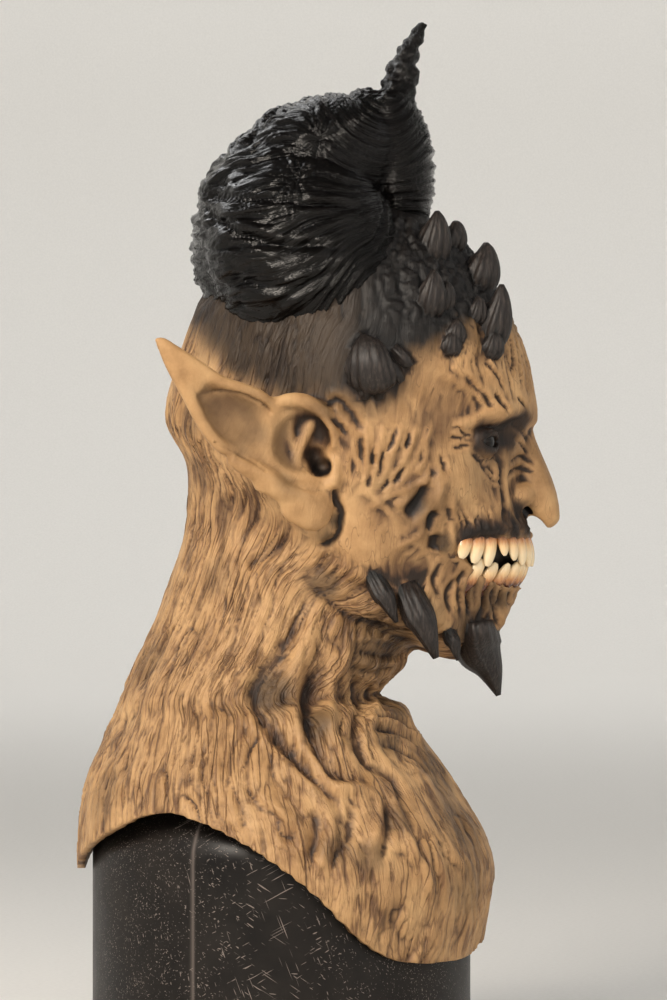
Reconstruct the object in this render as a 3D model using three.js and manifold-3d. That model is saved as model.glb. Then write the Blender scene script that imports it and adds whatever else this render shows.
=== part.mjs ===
// A hollow silicone demon mask with a glossy topknot, standing on the round column it is shown on.
// The mask is one soft casting: head, long pointed ears, hooked nose, horn knobs, jaw spikes, chin
// horn, wrinkled neck and a bib that hangs over the column. Millimetres, +Z up, face towards -Y,
// symmetric about x = 0, origin in the middle of the column's foot.

import * as THREE from 'three'
import { mergeVertices } from 'three/addons/utils/BufferGeometryUtils.js'
import Module from 'manifold-3d'

const wasm = await Module()
wasm.setup()

// Driving dimensions

const wall = 5
const touchingGap = 0.35

const columnRadius = 117
const columnShoulder = 128
const columnTop = 166

// How finely the skin and its plainer lining are stepped, along and around
const skinRows = 38
const skinColumns = 30
const liningRows = 20
const liningColumns = 16
const sideSteps = 120

// Sections of the skin from below the hem up to the crown. Each is a slanted egg: its front and
// back points in the side view as [y, z], its half width, and how much the front half narrows.
const skinSections = [
  { front: [-119, 50], back: [122, 50], half: 126, narrow: 0 }, // below the hem
  { front: [-132, 122], back: [127, 126], half: 131, narrow: 0 }, // bib
  { front: [-109, 168], back: [122, 169], half: 119, narrow: 0 }, // shoulder
  { front: [-86, 201], back: [109, 201], half: 99, narrow: 0.05 }, // foot of the neck
  { front: [-76, 218], back: [103, 214], half: 90, narrow: 0.06 }, // collar ridge
  { front: [-59, 227], back: [96, 232], half: 81, narrow: 0.08 }, // throat notch
  { front: [-73, 243], back: [76, 276], half: 71, narrow: 0.1 }, // throat
  { front: [-82, 256], back: [60, 326], half: 66, narrow: 0.15 }, // back of the under jaw
  { front: [-106, 249], back: [58, 350], half: 64, narrow: 0.25 }, // front of the under jaw
  { front: [-130, 253], back: [60, 372], half: 68, narrow: 0.32 }, // under the chin
  { front: [-136, 270], back: [72, 398], half: 74, narrow: 0.36 }, // chin
  { front: [-150, 299], back: [66, 428], half: 79, narrow: 0.36 }, // lower lip
  { front: [-155, 323], back: [59, 449], half: 81, narrow: 0.34 }, // upper lip
  { front: [-149, 352], back: [49, 474], half: 83, narrow: 0.28 }, // cheekbones
  { front: [-153, 388], back: [38, 489], half: 82, narrow: 0.2 }, // between the eyes
  { front: [-159, 399], back: [33, 495], half: 80, narrow: 0.14 }, // brow
  { front: [-152, 435], back: [20, 509], half: 75, narrow: 0.08 }, // forehead
  { front: [-138, 471], back: [3, 523], half: 63, narrow: 0.05 }, // top of the forehead
  { front: [-114, 506], back: [-22, 535], half: 42, narrow: 0 }, // front of the crown
]
const crown = [-66, 541]
const sectionWaist = 0.55

// The hem's height round the mask, from the middle of the back to the middle of the front
const hemHeights = [117, 137, 153, 124, 70, 66, 76]

// Shapes

// A copy of a geometry with only its corners and triangles, and its shared corners merged.
function bare(geometry) {
  const copy = new THREE.BufferGeometry()
  copy.setAttribute('position', geometry.getAttribute('position').clone())
  if (geometry.index) copy.setIndex(geometry.index.clone())
  return mergeVertices(copy, 1e-3)
}

// The closed solid of a geometry.
function solid(geometry) {
  const merged = bare(geometry)
  const vertProperties = new Float32Array(merged.getAttribute('position').array)
  const triVerts = new Uint32Array(merged.index.array)
  return new wasm.Manifold(new wasm.Mesh({ numProp: 3, vertProperties, triVerts }))
}

// A geometry from a solid's corners and triangles.
function geometryOf(body) {
  const mesh = body.getMesh()
  const geometry = new THREE.BufferGeometry()
  const corners = new Float32Array(mesh.vertProperties)
  geometry.setAttribute('position', new THREE.BufferAttribute(corners, 3))
  geometry.setIndex(new THREE.BufferAttribute(new Uint32Array(mesh.triVerts), 1))
  geometry.computeVertexNormals()
  return geometry
}

// A closed geometry through rings of points, with a fan to a middle point at each end. The rings
// run from first to last with the outside on their right.
function ringGeometry(rings, firstEnd, lastEnd) {
  const columns = rings[0].length
  const corners = [firstEnd, ...rings.flat(), lastEnd]
  const faces = []
  const last = corners.length - 1
  for (let column = 0; column < columns; column++) {
    const next = (column + 1) % columns
    faces.push(0, 1 + next, 1 + column)
    for (let ring = 0; ring < rings.length - 1; ring++) {
      const low = 1 + ring * columns
      const high = low + columns
      faces.push(low + column, low + next, high + next)
      faces.push(low + column, high + next, high + column)
    }
    const top = 1 + (rings.length - 1) * columns
    faces.push(top + column, top + next, last)
  }
  const geometry = new THREE.BufferGeometry()
  const flat = corners.flatMap((corner) => [corner.x, corner.y, corner.z])
  geometry.setAttribute('position', new THREE.Float32BufferAttribute(flat, 3))
  geometry.setIndex(faces)
  geometry.computeVertexNormals()
  return geometry
}

// The value at a place between 0 and 1 on a smooth run through the given numbers.
function smoothRun(numbers, place) {
  const at = place * (numbers.length - 1)
  const low = Math.min(Math.floor(at), numbers.length - 2)
  const [start, end] = [numbers[low], numbers[low + 1]]
  const before = numbers[Math.max(low - 1, 0)]
  const after = numbers[Math.min(low + 2, numbers.length - 1)]
  const part = at - low
  const rise = (end - before) / 2
  const fall = (after - start) / 2
  const bend = part * (1 - part)
  const ease = part * part * (3 - 2 * part)
  return start + (end - start) * ease + bend * (rise * (1 - part) - fall * part)
}

// The slanted section at a place between the hem (0) and the crown (1).
function sectionAt(place) {
  const run = (read) => smoothRun(skinSections.map(read), place)
  return {
    front: [run((s) => s.front[0]), run((s) => s.front[1])],
    back: [run((s) => s.back[0]), run((s) => s.back[1])],
    half: run((s) => s.half),
    narrow: run((s) => s.narrow),
  }
}

// A point of a section. The turn goes round from the front over the wearer's right side.
function sectionPoint(section, turn) {
  const ahead = Math.cos(turn)
  const waistY = THREE.MathUtils.lerp(section.front[0], section.back[0], sectionWaist)
  const waistZ = THREE.MathUtils.lerp(section.front[1], section.back[1], sectionWaist)
  const end = ahead > 0 ? section.front : section.back
  const pinch = 1 - section.narrow * Math.max(ahead, 0) ** 2
  return new THREE.Vector3(
    -section.half * Math.sin(turn) * pinch,
    waistY + (end[0] - waistY) * Math.abs(ahead),
    waistZ + (end[1] - waistZ) * Math.abs(ahead),
  )
}

// The skin's plain outer form, moved out along its normals by the given distance.
function skinForm(rows, columns, out) {
  const rings = []
  for (let row = 0; row <= rows; row++) {
    const section = sectionAt(row / rows)
    const ring = []
    for (let column = 0; column < columns; column++) {
      ring.push(sectionPoint(section, (2 * Math.PI * column) / columns))
    }
    rings.push(ring.reverse())
  }
  const below = sectionAt(0)
  const foot = new THREE.Vector3(0, (below.front[0] + below.back[0]) / 2, below.front[1])
  const geometry = ringGeometry(rings, foot, new THREE.Vector3(0, crown[0], crown[1]))
  const place = geometry.getAttribute('position')
  const normal = geometry.getAttribute('normal')
  for (let i = 0; i < place.count && out !== 0; i++) {
    place.setXYZ(
      i,
      place.getX(i) + out * normal.getX(i),
      place.getY(i) + out * normal.getY(i),
      place.getZ(i) + out * normal.getZ(i),
    )
  }
  return geometry
}

// The point of the skin's right side that the side view shows at a y and z, with its normal.
const sideForm = skinForm(sideSteps, sideSteps, 0)
function onSkin(y, z) {
  const place = sideForm.getAttribute('position')
  const normal = sideForm.getAttribute('normal')
  let best = 0
  let nearest = Infinity
  for (let i = 0; i < place.count; i++) {
    const gap = Math.hypot(place.getY(i) - y, place.getZ(i) - z)
    if (place.getX(i) <= 0 && gap < nearest) {
      nearest = gap
      best = i
    }
  }
  return {
    point: new THREE.Vector3().fromBufferAttribute(place, best),
    normal: new THREE.Vector3().fromBufferAttribute(normal, best),
  }
}

// A tapered round body along stations of { at: [x, y, z], wide, deep }. Ribs make its section a
// gear of raised ridges.
function taper(stations, sides, ribDepth = 0) {
  const centres = stations.map((station) => new THREE.Vector3(...station.at))
  const rings = []
  const [sideways, ahead] = [new THREE.Vector3(1, 0, 0), new THREE.Vector3(0, 1, 0)]
  let across = null
  stations.forEach((station, index) => {
    const before = centres[Math.max(index - 1, 0)]
    const after = centres[Math.min(index + 1, centres.length - 1)]
    const along = after.clone().sub(before).normalize()
    const guess = across ?? (Math.abs(along.x) < 0.8 ? sideways : ahead)
    across = guess.clone().addScaledVector(along, -guess.dot(along)).normalize()
    const up = along.clone().cross(across)
    const ring = []
    for (let side = 0; side < sides; side++) {
      const turn = (2 * Math.PI * side) / sides
      const rib = side % 2 ? 1 - ribDepth : 1
      ring.push(
        centres[index]
          .clone()
          .addScaledVector(across, station.wide * rib * Math.cos(turn))
          .addScaledVector(up, station.deep * rib * Math.sin(turn)),
      )
    }
    rings.push(ring)
  })
  return ringGeometry(rings, centres[0], centres[centres.length - 1])
}

// An egg with the given middle and radii, turned about x.
function egg(middle, radii, turn = 0, sides = 20) {
  const geometry = new THREE.SphereGeometry(1, sides, Math.round(sides * 0.6))
  geometry.rotateX(Math.PI / 2)
  geometry.scale(...radii)
  geometry.rotateX(turn)
  geometry.translate(...middle)
  return geometry
}

// The same geometry on the other side of x = 0.
function mirrored(geometry) {
  const copy = bare(geometry).scale(-1, 1, 1)
  const index = copy.index
  for (let i = 0; i < index.count; i += 3) {
    const second = index.getX(i + 1)
    index.setX(i + 1, index.getX(i + 2))
    index.setX(i + 2, second)
  }
  return copy
}

// The solids of a shape on the right side and of its mirror image on the left.
function bothSides(geometry) {
  return [solid(geometry), solid(mirrored(geometry))]
}

// Horn knobs: ribbed cones whose tips stand up off the scalp

const horns = [
  { y: -94, z: 501, long: 25, base: 7.5 },
  { y: -108, z: 508, long: 13, base: 6 },
  { y: -124, z: 486, long: 23, base: 8.5 },
  { y: -92, z: 466, long: 22, base: 7 },
  { y: -133, z: 451, long: 30, base: 7.5 },
  { y: -108, z: 446, long: 12, base: 5 },
  { y: -44, z: 418, long: 26, base: 9 },
  { y: -56, z: 415, long: 24, base: 8 },
  { y: -68, z: 418, long: 16, base: 7 },
]

const hornSunk = 2 // how far a horn's root lies under the skin
const hornSplay = 0.55 // how far a knob leans out of upright along the skin's normal
const hornSides = 10
const hornRib = 0.16

function horn({ y, z, long, base }) {
  const { point, normal } = onSkin(y, z)
  const rise = new THREE.Vector3(0, 0, 1).addScaledVector(normal, hornSplay).normalize()
  const root = point.clone().addScaledVector(normal, -hornSunk)
  const station = (share, size) => ({
    at: root.clone().addScaledVector(rise, long * share).toArray(),
    wide: base * size,
    deep: base * size,
  })
  return taper([station(-0.1, 1), station(0.35, 0.85), station(1, 0.15)], hornSides, hornRib)
}

// Jaw spikes and chin horn: claws that hang down and forwards

const jawSpikes = [
  { root: [-57, 300], tip: [-71, 273], base: 6 },
  { root: [-79, 290], tip: [-95, 251], base: 9 },
]

const spikeSplay = 6 // how far a jaw spike's tip stands out sideways

function jawSpike({ root, tip, base }) {
  const start = onSkin(root[0], root[1])
  const drop = new THREE.Vector3(start.point.x - spikeSplay, tip[0], tip[1])
  const from = start.point.clone().addScaledVector(start.normal, -hornSunk)
  const station = (share, size) => ({
    at: from.clone().lerp(drop, share).toArray(),
    wide: base * size,
    deep: base * size,
  })
  return taper([station(-0.1, 0.9), station(0.4, 1), station(1, 0.15)], hornSides, hornRib)
}

const chinHorn = taper(
  [
    { at: [0, -118, 272], wide: 15, deep: 13 },
    { at: [0, -122, 258], wide: 14, deep: 13 },
    { at: [0, -127, 245], wide: 9, deep: 9 },
    { at: [0, -132, 234], wide: 6, deep: 5 },
    { at: [0, -134, 225], wide: 1.5, deep: 1.5 },
  ],
  12,
  0.1,
)

// The nose: a narrow bridge that swells into a long hooked tip over two wings

const noseBridge = taper(
  [
    { at: [0, -146, 396], wide: 8, deep: 9 },
    { at: [0, -149, 380], wide: 8, deep: 9 },
    { at: [0, -152, 364], wide: 11, deep: 12 },
    { at: [0, -158, 350], wide: 13, deep: 14 },
    { at: [0, -163, 339], wide: 10, deep: 10 },
    { at: [0, -167, 331], wide: 5, deep: 4 },
  ],
  14,
)
const noseWing = egg([-13, -146, 350], [9, 10, 9])

// The long pointed ear: a thick leaf, hollowed on its outer face, that leans away from the head

const earLean = 0.4
const earRoot = -34
const earRootHeight = 372
const earThickness = 9
const earOutline = [
  [-34, 378],
  [-30, 394],
  [-22, 405],
  [-2, 412],
  [16, 414],
  [40, 425],
  [62, 438],
  [75, 446],
  [68, 431],
  [57, 412],
  [48, 395],
  [34, 374],
  [20, 366],
  [16, 356],
  [3, 350],
  [-6, 333],
  [-21, 327],
  [-33, 336],
  [-36, 356],
]

// Leans a shape that is drawn at the ear's root, and sets it on the side of the head.
function setEar(geometry) {
  const slope = Math.tan(earLean)
  const lean = new THREE.Matrix4().set(1, -slope, 0, slope * earRoot, 0, 1, 0, 0, 0, 0, 1, 0, 0, 0, 0, 1)
  return geometry.applyMatrix4(lean).translate(onSkin(earRoot, earRootHeight).point.x, 0, 0)
}

function ear() {
  const points = earOutline.map(([y, z]) => new THREE.Vector2(y, z))
  const outline = new THREE.Shape()
  outline.moveTo(points[0].x, points[0].y)
  outline.splineThru([...points.slice(1), points[0]])
  const leaf = new THREE.ExtrudeGeometry(outline, {
    depth: earThickness,
    bevelEnabled: false,
    curveSegments: 1,
  })
  leaf.rotateX(Math.PI / 2)
  leaf.rotateZ(Math.PI / 2)
  return setEar(leaf)
}

// The upper and the lower hollow of the ear
const fossa = () => setEar(egg([0, 18, 392], [6, 24, 13], -0.25, 12))
const concha = () => setEar(egg([0, -14, 379], [6.5, 17, 15], 0, 12))

// Openings through the skin

const mouthReach = 70 // half the width of the slot between the lips

function mouthCut() {
  const outline = new THREE.Shape()
  outline.moveTo(-180, 326)
  outline.lineTo(-112, 326)
  outline.lineTo(-106, 314)
  outline.lineTo(-112, 294)
  outline.lineTo(-140, 292)
  outline.lineTo(-180, 290)
  const slot = new THREE.ExtrudeGeometry(outline, { depth: 2 * mouthReach, bevelEnabled: false })
  slot.rotateX(Math.PI / 2)
  slot.rotateZ(Math.PI / 2)
  slot.translate(-mouthReach, 0, 0)
  return slot
}

const eyeMiddle = [-37, -117, 383]
const eyeRadius = 14
const eyeBall = (grow) => egg(eyeMiddle, Array(3).fill(eyeRadius + grow), 0, 10)
const eyeHole = egg(eyeMiddle, [15, 34, 11], -0.25, 12)
const eyeSocket = egg([-42, -137, 388], [17, 13, 10], -0.4, 12)

// The hem cutter fills everything below the bib's curved edge. Its rim stays at the hem's height
// and its middle lies under the lining.
function hemCutter() {
  const around = 48
  const reach = 190
  const floorHeight = 10
  const middleHeight = 110
  const innerShare = 0.4
  const edge = []
  const floor = []
  for (let step = 0; step < around; step++) {
    const turn = (2 * Math.PI * step) / around
    const fromBack = Math.abs(turn > Math.PI ? 2 * Math.PI - turn : turn) / Math.PI
    const height = smoothRun(hemHeights, fromBack)
    const x = reach * Math.sin(turn)
    const y = reach * Math.cos(turn)
    edge.push(new THREE.Vector3(x, y, height))
    floor.push(new THREE.Vector3(x, y, floorHeight))
  }
  const inner = edge.map(
    (corner) => new THREE.Vector3(corner.x * innerShare, corner.y * innerShare, corner.z),
  )
  const rings = [floor, edge, inner].map((ring) => ring.reverse())
  const [foot, top] = [floorHeight, middleHeight].map((height) => new THREE.Vector3(0, 0, height))
  return ringGeometry(rings, foot, top)
}

// Teeth: each row is one cast dental piece, a curved gum with its teeth

const jawMiddle = -40 // the y that the dental arch curves round
const mouthSections = [8, 14] // the sections that the mouth lies between
const gumRadius = 3
const toothDepth = 0.8 // a tooth's depth for its width

// The point of the face at a turn and a height near the mouth, moved in by a distance. The height
// is found by halving the stretch between the mouth's sections.
function gumPoint(turn, height, inset) {
  let [low, high] = mouthSections.map((section) => section / (skinSections.length - 1))
  let point = null
  for (let step = 0; step < 12; step++) {
    const middle = (low + high) / 2
    point = sectionPoint(sectionAt(middle), turn)
    if (point.z < height) low = middle
    else high = middle
  }
  const reach = point.y - jawMiddle
  const shrink = 1 - inset / Math.hypot(point.x, reach)
  return new THREE.Vector3(point.x * shrink, jawMiddle + reach * shrink, height)
}

function toothRow({ gumHeight, gumInset, tipInset, lean, sizes, reach }) {
  const gum = []
  const steps = 12
  for (let step = 0; step <= steps; step++) {
    const turn = THREE.MathUtils.lerp(-reach, reach, step / steps)
    const at = gumPoint(turn, gumHeight, gumInset).toArray()
    gum.push({ at, wide: gumRadius, deep: gumRadius })
  }
  const parts = [solid(taper(gum, 6))]
  sizes.forEach((size, index) => {
    const turn = (reach * (index + 0.5)) / sizes.length
    for (const side of [-1, 1]) {
      const root = gumPoint(side * turn, gumHeight, gumInset)
      const tip = gumPoint(side * turn, gumHeight + lean * size.long, tipInset)
      const station = (share, wide) => ({
        at: root.clone().lerp(tip, share).toArray(),
        wide: size.wide * wide,
        deep: size.wide * toothDepth * wide,
      })
      parts.push(solid(taper([station(0, 0.8), station(0.55, 1), station(1, 0.45)], 5)))
    }
  })
  return parts.reduce((joined, next) => joined.add(next))
}

const upperRow = {
  gumHeight: 329,
  gumInset: 15.8,
  tipInset: -1,
  lean: -1,
  reach: 0.78,
  sizes: [
    { wide: 4.6, long: 23 },
    { wide: 4.6, long: 21 },
    { wide: 4, long: 17 },
    { wide: 3, long: 14 },
    { wide: 4.2, long: 20 },
    { wide: 4, long: 18 },
    { wide: 3.4, long: 14 },
  ],
}

const lowerRow = {
  gumHeight: 288,
  gumInset: 16,
  tipInset: 6,
  lean: 1,
  reach: 0.62,
  sizes: [
    { wide: 3.6, long: 16 },
    { wide: 4, long: 18 },
    { wide: 3.6, long: 18 },
    { wide: 3.4, long: 17 },
    { wide: 4, long: 19 },
  ],
}

// The column: a plain round post with a rounded shoulder under the bib

const columnBend = 42 // how far in the shoulder runs
const columnBends = 5
const columnSides = 40

function column(grow) {
  const points = [new THREE.Vector2(0, -grow), new THREE.Vector2(columnRadius + grow, -grow)]
  for (let bend = 0; bend <= columnBends; bend++) {
    const turn = (Math.PI / 2) * (bend / columnBends)
    const radius = columnRadius - columnBend * (1 - Math.cos(turn))
    const height = columnShoulder + (columnTop - columnShoulder) * Math.sin(turn)
    points.push(new THREE.Vector2(radius + grow, height + grow))
  }
  points.push(new THREE.Vector2(0, columnTop + grow))
  return new THREE.LatheGeometry(points, columnSides).rotateX(Math.PI / 2)
}

// The skin: everything that is cast in one, then hollowed

const outside = [
  solid(skinForm(skinRows, skinColumns, 0)),
  solid(noseBridge),
  ...bothSides(noseWing),
  ...bothSides(ear()),
  ...horns.flatMap((place) => bothSides(horn(place))),
  ...jawSpikes.flatMap((place) => bothSides(jawSpike(place))),
  solid(chinHorn),
].reduce((joined, next) => joined.add(next))

const hollows = [
  solid(skinForm(liningRows, liningColumns, -wall)),
  solid(mouthCut()),
  solid(hemCutter()),
  solid(column(touchingGap)),
  ...bothSides(eyeBall(touchingGap)),
  ...bothSides(eyeHole),
  ...bothSides(eyeSocket),
  ...bothSides(fossa()),
  ...bothSides(concha()),
]
const skin = hollows.reduce((left, hollow) => left.subtract(hollow), outside)

// The topknot: one glossy casting of wound hair, seated over the crown

const knotParts = [
  egg([0, -4, 513], [74, 60, 77], 0.12, 20),
  egg([-40, -14, 500], [50, 58, 60], 0.2, 16),
  egg([40, -14, 500], [50, 58, 60], 0.2, 16),
  egg([0, -26, 556], [58, 56, 44], 0.3, 18),
  egg([0, -72, 552], [40, 24, 50], -0.12, 14),
  taper(
    [
      { at: [0, -68, 584], wide: 22, deep: 21 },
      { at: [0, -74, 604], wide: 14, deep: 13 },
      { at: [0, -76, 618], wide: 9, deep: 9 },
      { at: [0, -81, 630], wide: 6.5, deep: 5.5 },
      { at: [0, -88, 643], wide: 1.5, deep: 1.5 },
    ],
    12,
  ),
]
const seat = solid(skinForm(skinRows, skinColumns, touchingGap))
const knot = knotParts.map(solid).reduce((joined, next) => joined.add(next)).subtract(seat)

// Paints and finishes

const finishes = {
  paintedSilicone: { color: 0xc29a6c, roughness: 0.62, metalness: 0 },
  wetHair: { color: 0x120f0e, roughness: 0.18, metalness: 0 },
  ivory: { color: 0xdfc08d, roughness: 0.25, metalness: 0 },
  darkEye: { color: 0x15100c, roughness: 0.08, metalness: 0 },
  blackPlastic: { color: 0x2b2623, roughness: 0.4, metalness: 0 },
}

const group = new THREE.Group()

function addPiece(name, geometry, finish) {
  const mesh = new THREE.Mesh(geometry, new THREE.MeshStandardMaterial(finishes[finish]))
  mesh.name = name
  group.add(mesh)
}

addPiece('mask_skin', geometryOf(skin), 'paintedSilicone')
addPiece('topknot', geometryOf(knot), 'wetHair')
addPiece('upper_teeth', geometryOf(toothRow(upperRow)), 'ivory')
addPiece('lower_teeth', geometryOf(toothRow(lowerRow)), 'ivory')
const [eyeRight, eyeLeft] = bothSides(eyeBall(0))
addPiece('eye_right', geometryOf(eyeRight), 'darkEye')
addPiece('eye_left', geometryOf(eyeLeft), 'darkEye')
addPiece('display_stand', geometryOf(solid(column(0))), 'blackPlastic')

export default group
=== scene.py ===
# A soft demon mask with a glossy topknot, drawn over the round column it is shown on.
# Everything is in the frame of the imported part: +Z up, the face towards -Y, the wearer's right
# side at -X, the origin in the middle of the column's foot. Sizes below are in millimetres and
# are turned to metres where a mesh is made.

import math

import bpy
import numpy as np
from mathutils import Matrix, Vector
from mathutils.kdtree import KDTree


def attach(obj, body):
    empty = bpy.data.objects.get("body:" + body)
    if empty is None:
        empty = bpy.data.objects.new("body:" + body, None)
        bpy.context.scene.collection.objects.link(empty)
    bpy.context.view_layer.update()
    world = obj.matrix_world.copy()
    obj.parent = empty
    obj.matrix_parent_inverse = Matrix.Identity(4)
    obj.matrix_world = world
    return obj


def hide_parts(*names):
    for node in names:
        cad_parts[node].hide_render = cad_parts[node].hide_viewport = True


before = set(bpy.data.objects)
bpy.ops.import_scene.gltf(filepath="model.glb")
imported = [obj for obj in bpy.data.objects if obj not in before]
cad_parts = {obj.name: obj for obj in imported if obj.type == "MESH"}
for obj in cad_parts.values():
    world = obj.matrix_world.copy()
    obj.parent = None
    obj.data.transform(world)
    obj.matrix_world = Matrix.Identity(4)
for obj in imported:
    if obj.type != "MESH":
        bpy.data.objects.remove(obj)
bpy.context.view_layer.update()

# Camera: level with the middle of the mask, seen square on from the wearer's right. A long lens
# from far away keeps the ear and the nose at the same scale.

mm = 0.001
camera_distance = 3000
camera_turn = math.radians(0.5)
view_height = 620
view_middle = Vector((0, -32.2, 347.2)) * mm
sensor_width = 36

camera_data = bpy.data.cameras.new("camera")
camera_data.sensor_width = sensor_width
camera_data.lens = sensor_width * camera_distance / view_height
camera = bpy.data.objects.new("camera", camera_data)
bpy.context.scene.collection.objects.link(camera)
camera_side = Vector((-math.cos(camera_turn), -math.sin(camera_turn), 0))
camera.location = view_middle + camera_side * camera_distance * mm
camera.rotation_euler = (-camera_side).to_track_quat("-Z", "Y").to_euler()
bpy.context.scene.camera = camera

# Studio: a round pale paper sweep that is floor and backdrop in one, a large soft light above the
# mask's right side and a little behind it, a small lamp that makes the wet hair sparkle, weaker
# soft lights from the face and from behind, and six round about for the paper.


def paint(hex_colour):
    """An sRGB hex colour as linear red, green, blue and alpha."""
    shares = [int(hex_colour[i : i + 2], 16) / 255 for i in (1, 3, 5)]
    linear = [c / 12.92 if c <= 0.04045 else ((c + 0.055) / 1.055) ** 2.4 for c in shares]
    return (*linear, 1)


def add_node(tree, kind, settings={}, inputs={}, out=None):
    """Adds a node and returns its output: the named one, or else the first that is in use.

    Settings are the node's own properties. Inputs are values, or outputs of other nodes to link.
    """
    node = tree.nodes.new("ShaderNode" + kind)
    for name, value in settings.items():
        if name == "stops":
            elements = node.color_ramp.elements
            while len(elements) < len(value):
                elements.new(0.5)
            for element, (place, colour) in zip(elements, value):
                element.position = place
                element.color = paint(colour)
        else:
            setattr(node, name, value)
    for name, value in inputs.items():
        if isinstance(value, bpy.types.NodeSocket):
            tree.links.new(value, node.inputs[name])
        else:
            node.inputs[name].default_value = value
    return node.outputs[out] if out else next((o for o in node.outputs if o.enabled), None)


def new_material(name):
    """A material with only an output node, and its tree."""
    material = bpy.data.materials.new(name)
    material.use_nodes = True
    material.node_tree.nodes.clear()
    return material, material.node_tree


def finish_material(tree, look):
    """Gives the material's surface one shader, whose inputs are values or outputs of other nodes."""
    shader = add_node(tree, "BsdfPrincipled", {}, look)
    add_node(tree, "OutputMaterial", {}, {"Surface": shader})


def shade_smooth(piece):
    """Lets light run evenly over the piece's faces."""
    piece.data.polygons.foreach_set("use_smooth", [True] * len(piece.data.polygons))


def mesh_piece(name, corners, faces):
    """A mesh object from corners in millimetres."""
    mesh = bpy.data.meshes.new(name)
    mesh.from_pydata(np.asarray(corners, float) * mm, [], faces)
    mesh.validate()
    piece = bpy.data.objects.new(name, mesh)
    bpy.context.scene.collection.objects.link(piece)
    shade_smooth(piece)
    return piece


def ring_faces(rows, columns):
    """Faces of a closed tube of rings, with a fan to the corner before and to the one after them."""
    faces = []
    last = 1 + rows * columns
    for column in range(columns):
        after = (column + 1) % columns
        faces.append((0, 1 + after, 1 + column))
        for row in range(rows - 1):
            low = 1 + row * columns
            high = low + columns
            faces.append((low + column, low + after, high + after, high + column))
        top = 1 + (rows - 1) * columns
        faces.append((top + column, top + after, last))
    return faces


sweep_flat = 6500
sweep_bend = 1200
sweep_top = 5500
sweep_sides = 96
bend_steps = 12
profile = [(sweep_flat / 2, 0), (sweep_flat, 0)]
for step in range(1, bend_steps + 1):
    turn = math.pi / 2 * step / bend_steps
    profile.append((sweep_flat + sweep_bend * math.sin(turn), sweep_bend * (1 - math.cos(turn))))
profile.append((sweep_flat + sweep_bend, sweep_top))
turns = np.arange(sweep_sides) * 2 * math.pi / sweep_sides
corners = [(0, 0, 0)]
for reach, level in profile:
    corners += [(reach * math.cos(turn), reach * math.sin(turn), level) for turn in turns]
corners.append((0, 0, sweep_top))
open_top = [face for face in ring_faces(len(profile), sweep_sides) if len(corners) - 1 not in face]
sweep = mesh_piece("paper_sweep", corners, open_top)

# Matt paper: fine fibres that show only as a faint unevenness of its tone
paper, tree = new_material("matt background paper")
places = add_node(tree, "TexCoord", out="Object")
grain = add_node(tree, "TexNoise", {}, {"Vector": places, "Scale": 1 / (4 * mm), "Detail": 3})
tone = add_node(tree, "ValToRGB", {"stops": [(0.3, "#e3e1dd"), (0.7, "#e8e6e2")]}, {"Fac": grain})
finish_material(tree, {"Base Color": tone, "Roughness": 0.9})
sweep.data.materials.append(paper)


def add_light(name, place, aim, size, watts, colour):
    """A square area light at a place, aimed at a point, both in millimetres."""
    data = bpy.data.lights.new(name, "AREA")
    data.size = size * mm
    data.energy = watts
    data.color = paint(colour)[:3]
    light = bpy.data.objects.new(name, data)
    bpy.context.scene.collection.objects.link(light)
    light.location = Vector(place) * mm
    light.rotation_euler = (Vector(aim) - Vector(place)).to_track_quat("-Z", "Y").to_euler()


add_light("key_softbox", (-1500, 800, 1250), (0, 0, 340), 620, 33.5, "#fff4e6")
add_light("sparkle_lamp", (-2200, -200, 1300), (0, 0, 450), 120, 4, "#fff4e6")
add_light("fill_softbox", (-1300, -1500, 500), (0, -60, 330), 1000, 3.2, "#fff8f0")
add_light("back_softbox", (900, 700, 1500), (0, 0, 420), 600, 5, "#ffffff")
paper_lights = 6
paper_light_reach = 5300
paper_light_height = 4700
lit_paper_reach = 7600
lit_paper_height = 600
for number in range(paper_lights):
    turn = number * 2 * math.pi / paper_lights
    out = Vector((math.cos(turn), math.sin(turn), 0))
    place = out * paper_light_reach + Vector((0, 0, paper_light_height))
    aim = out * lit_paper_reach + Vector((0, 0, lit_paper_height))
    add_light("paper_softbox", place, aim, 2000, 85, "#ffffff")
world = bpy.data.worlds.new("pale_room")
world.use_nodes = True
room_light = world.node_tree.nodes["Background"]
room_light.inputs["Color"].default_value = paint("#e8e6e2")
room_light.inputs["Strength"].default_value = 0.14
bpy.context.scene.world = world
bpy.context.scene.view_settings.view_transform = "Standard"

# Column: the black plastic post of a display stand, rolled from sheet with one upright seam. It is
# old stock, so its gloss is scuffed and scratched, which shows as pale nicks and warm dusty grey.
# A thin pale line down the seam is a painted highlight.

column_radius = 117
column_shoulder = 128
column_top = 166
column_bend = 42
column_sides = 160
foot_edge = 1.5
wall_steps = 16
bend_steps = 14
seam_turn = math.radians(154)
seam_depth = 0.8
seam_half_width = 0.012
seam_line_half_width = 0.009
seam_sides = 9
seam_reach = 0.032
plain_start = 0.05

profile = [(column_radius * share, 0) for share in (0.5, 0.985)]
for step in range(wall_steps + 1):
    profile.append((column_radius, foot_edge + (column_shoulder - foot_edge) * step / wall_steps))
for step in range(1, bend_steps + 1):
    turn = math.pi / 2 * step / bend_steps
    radius = column_radius - column_bend * (1 - math.cos(turn))
    profile.append((radius, column_shoulder + (column_top - column_shoulder) * math.sin(turn)))
profile.append((20, column_top))

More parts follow.
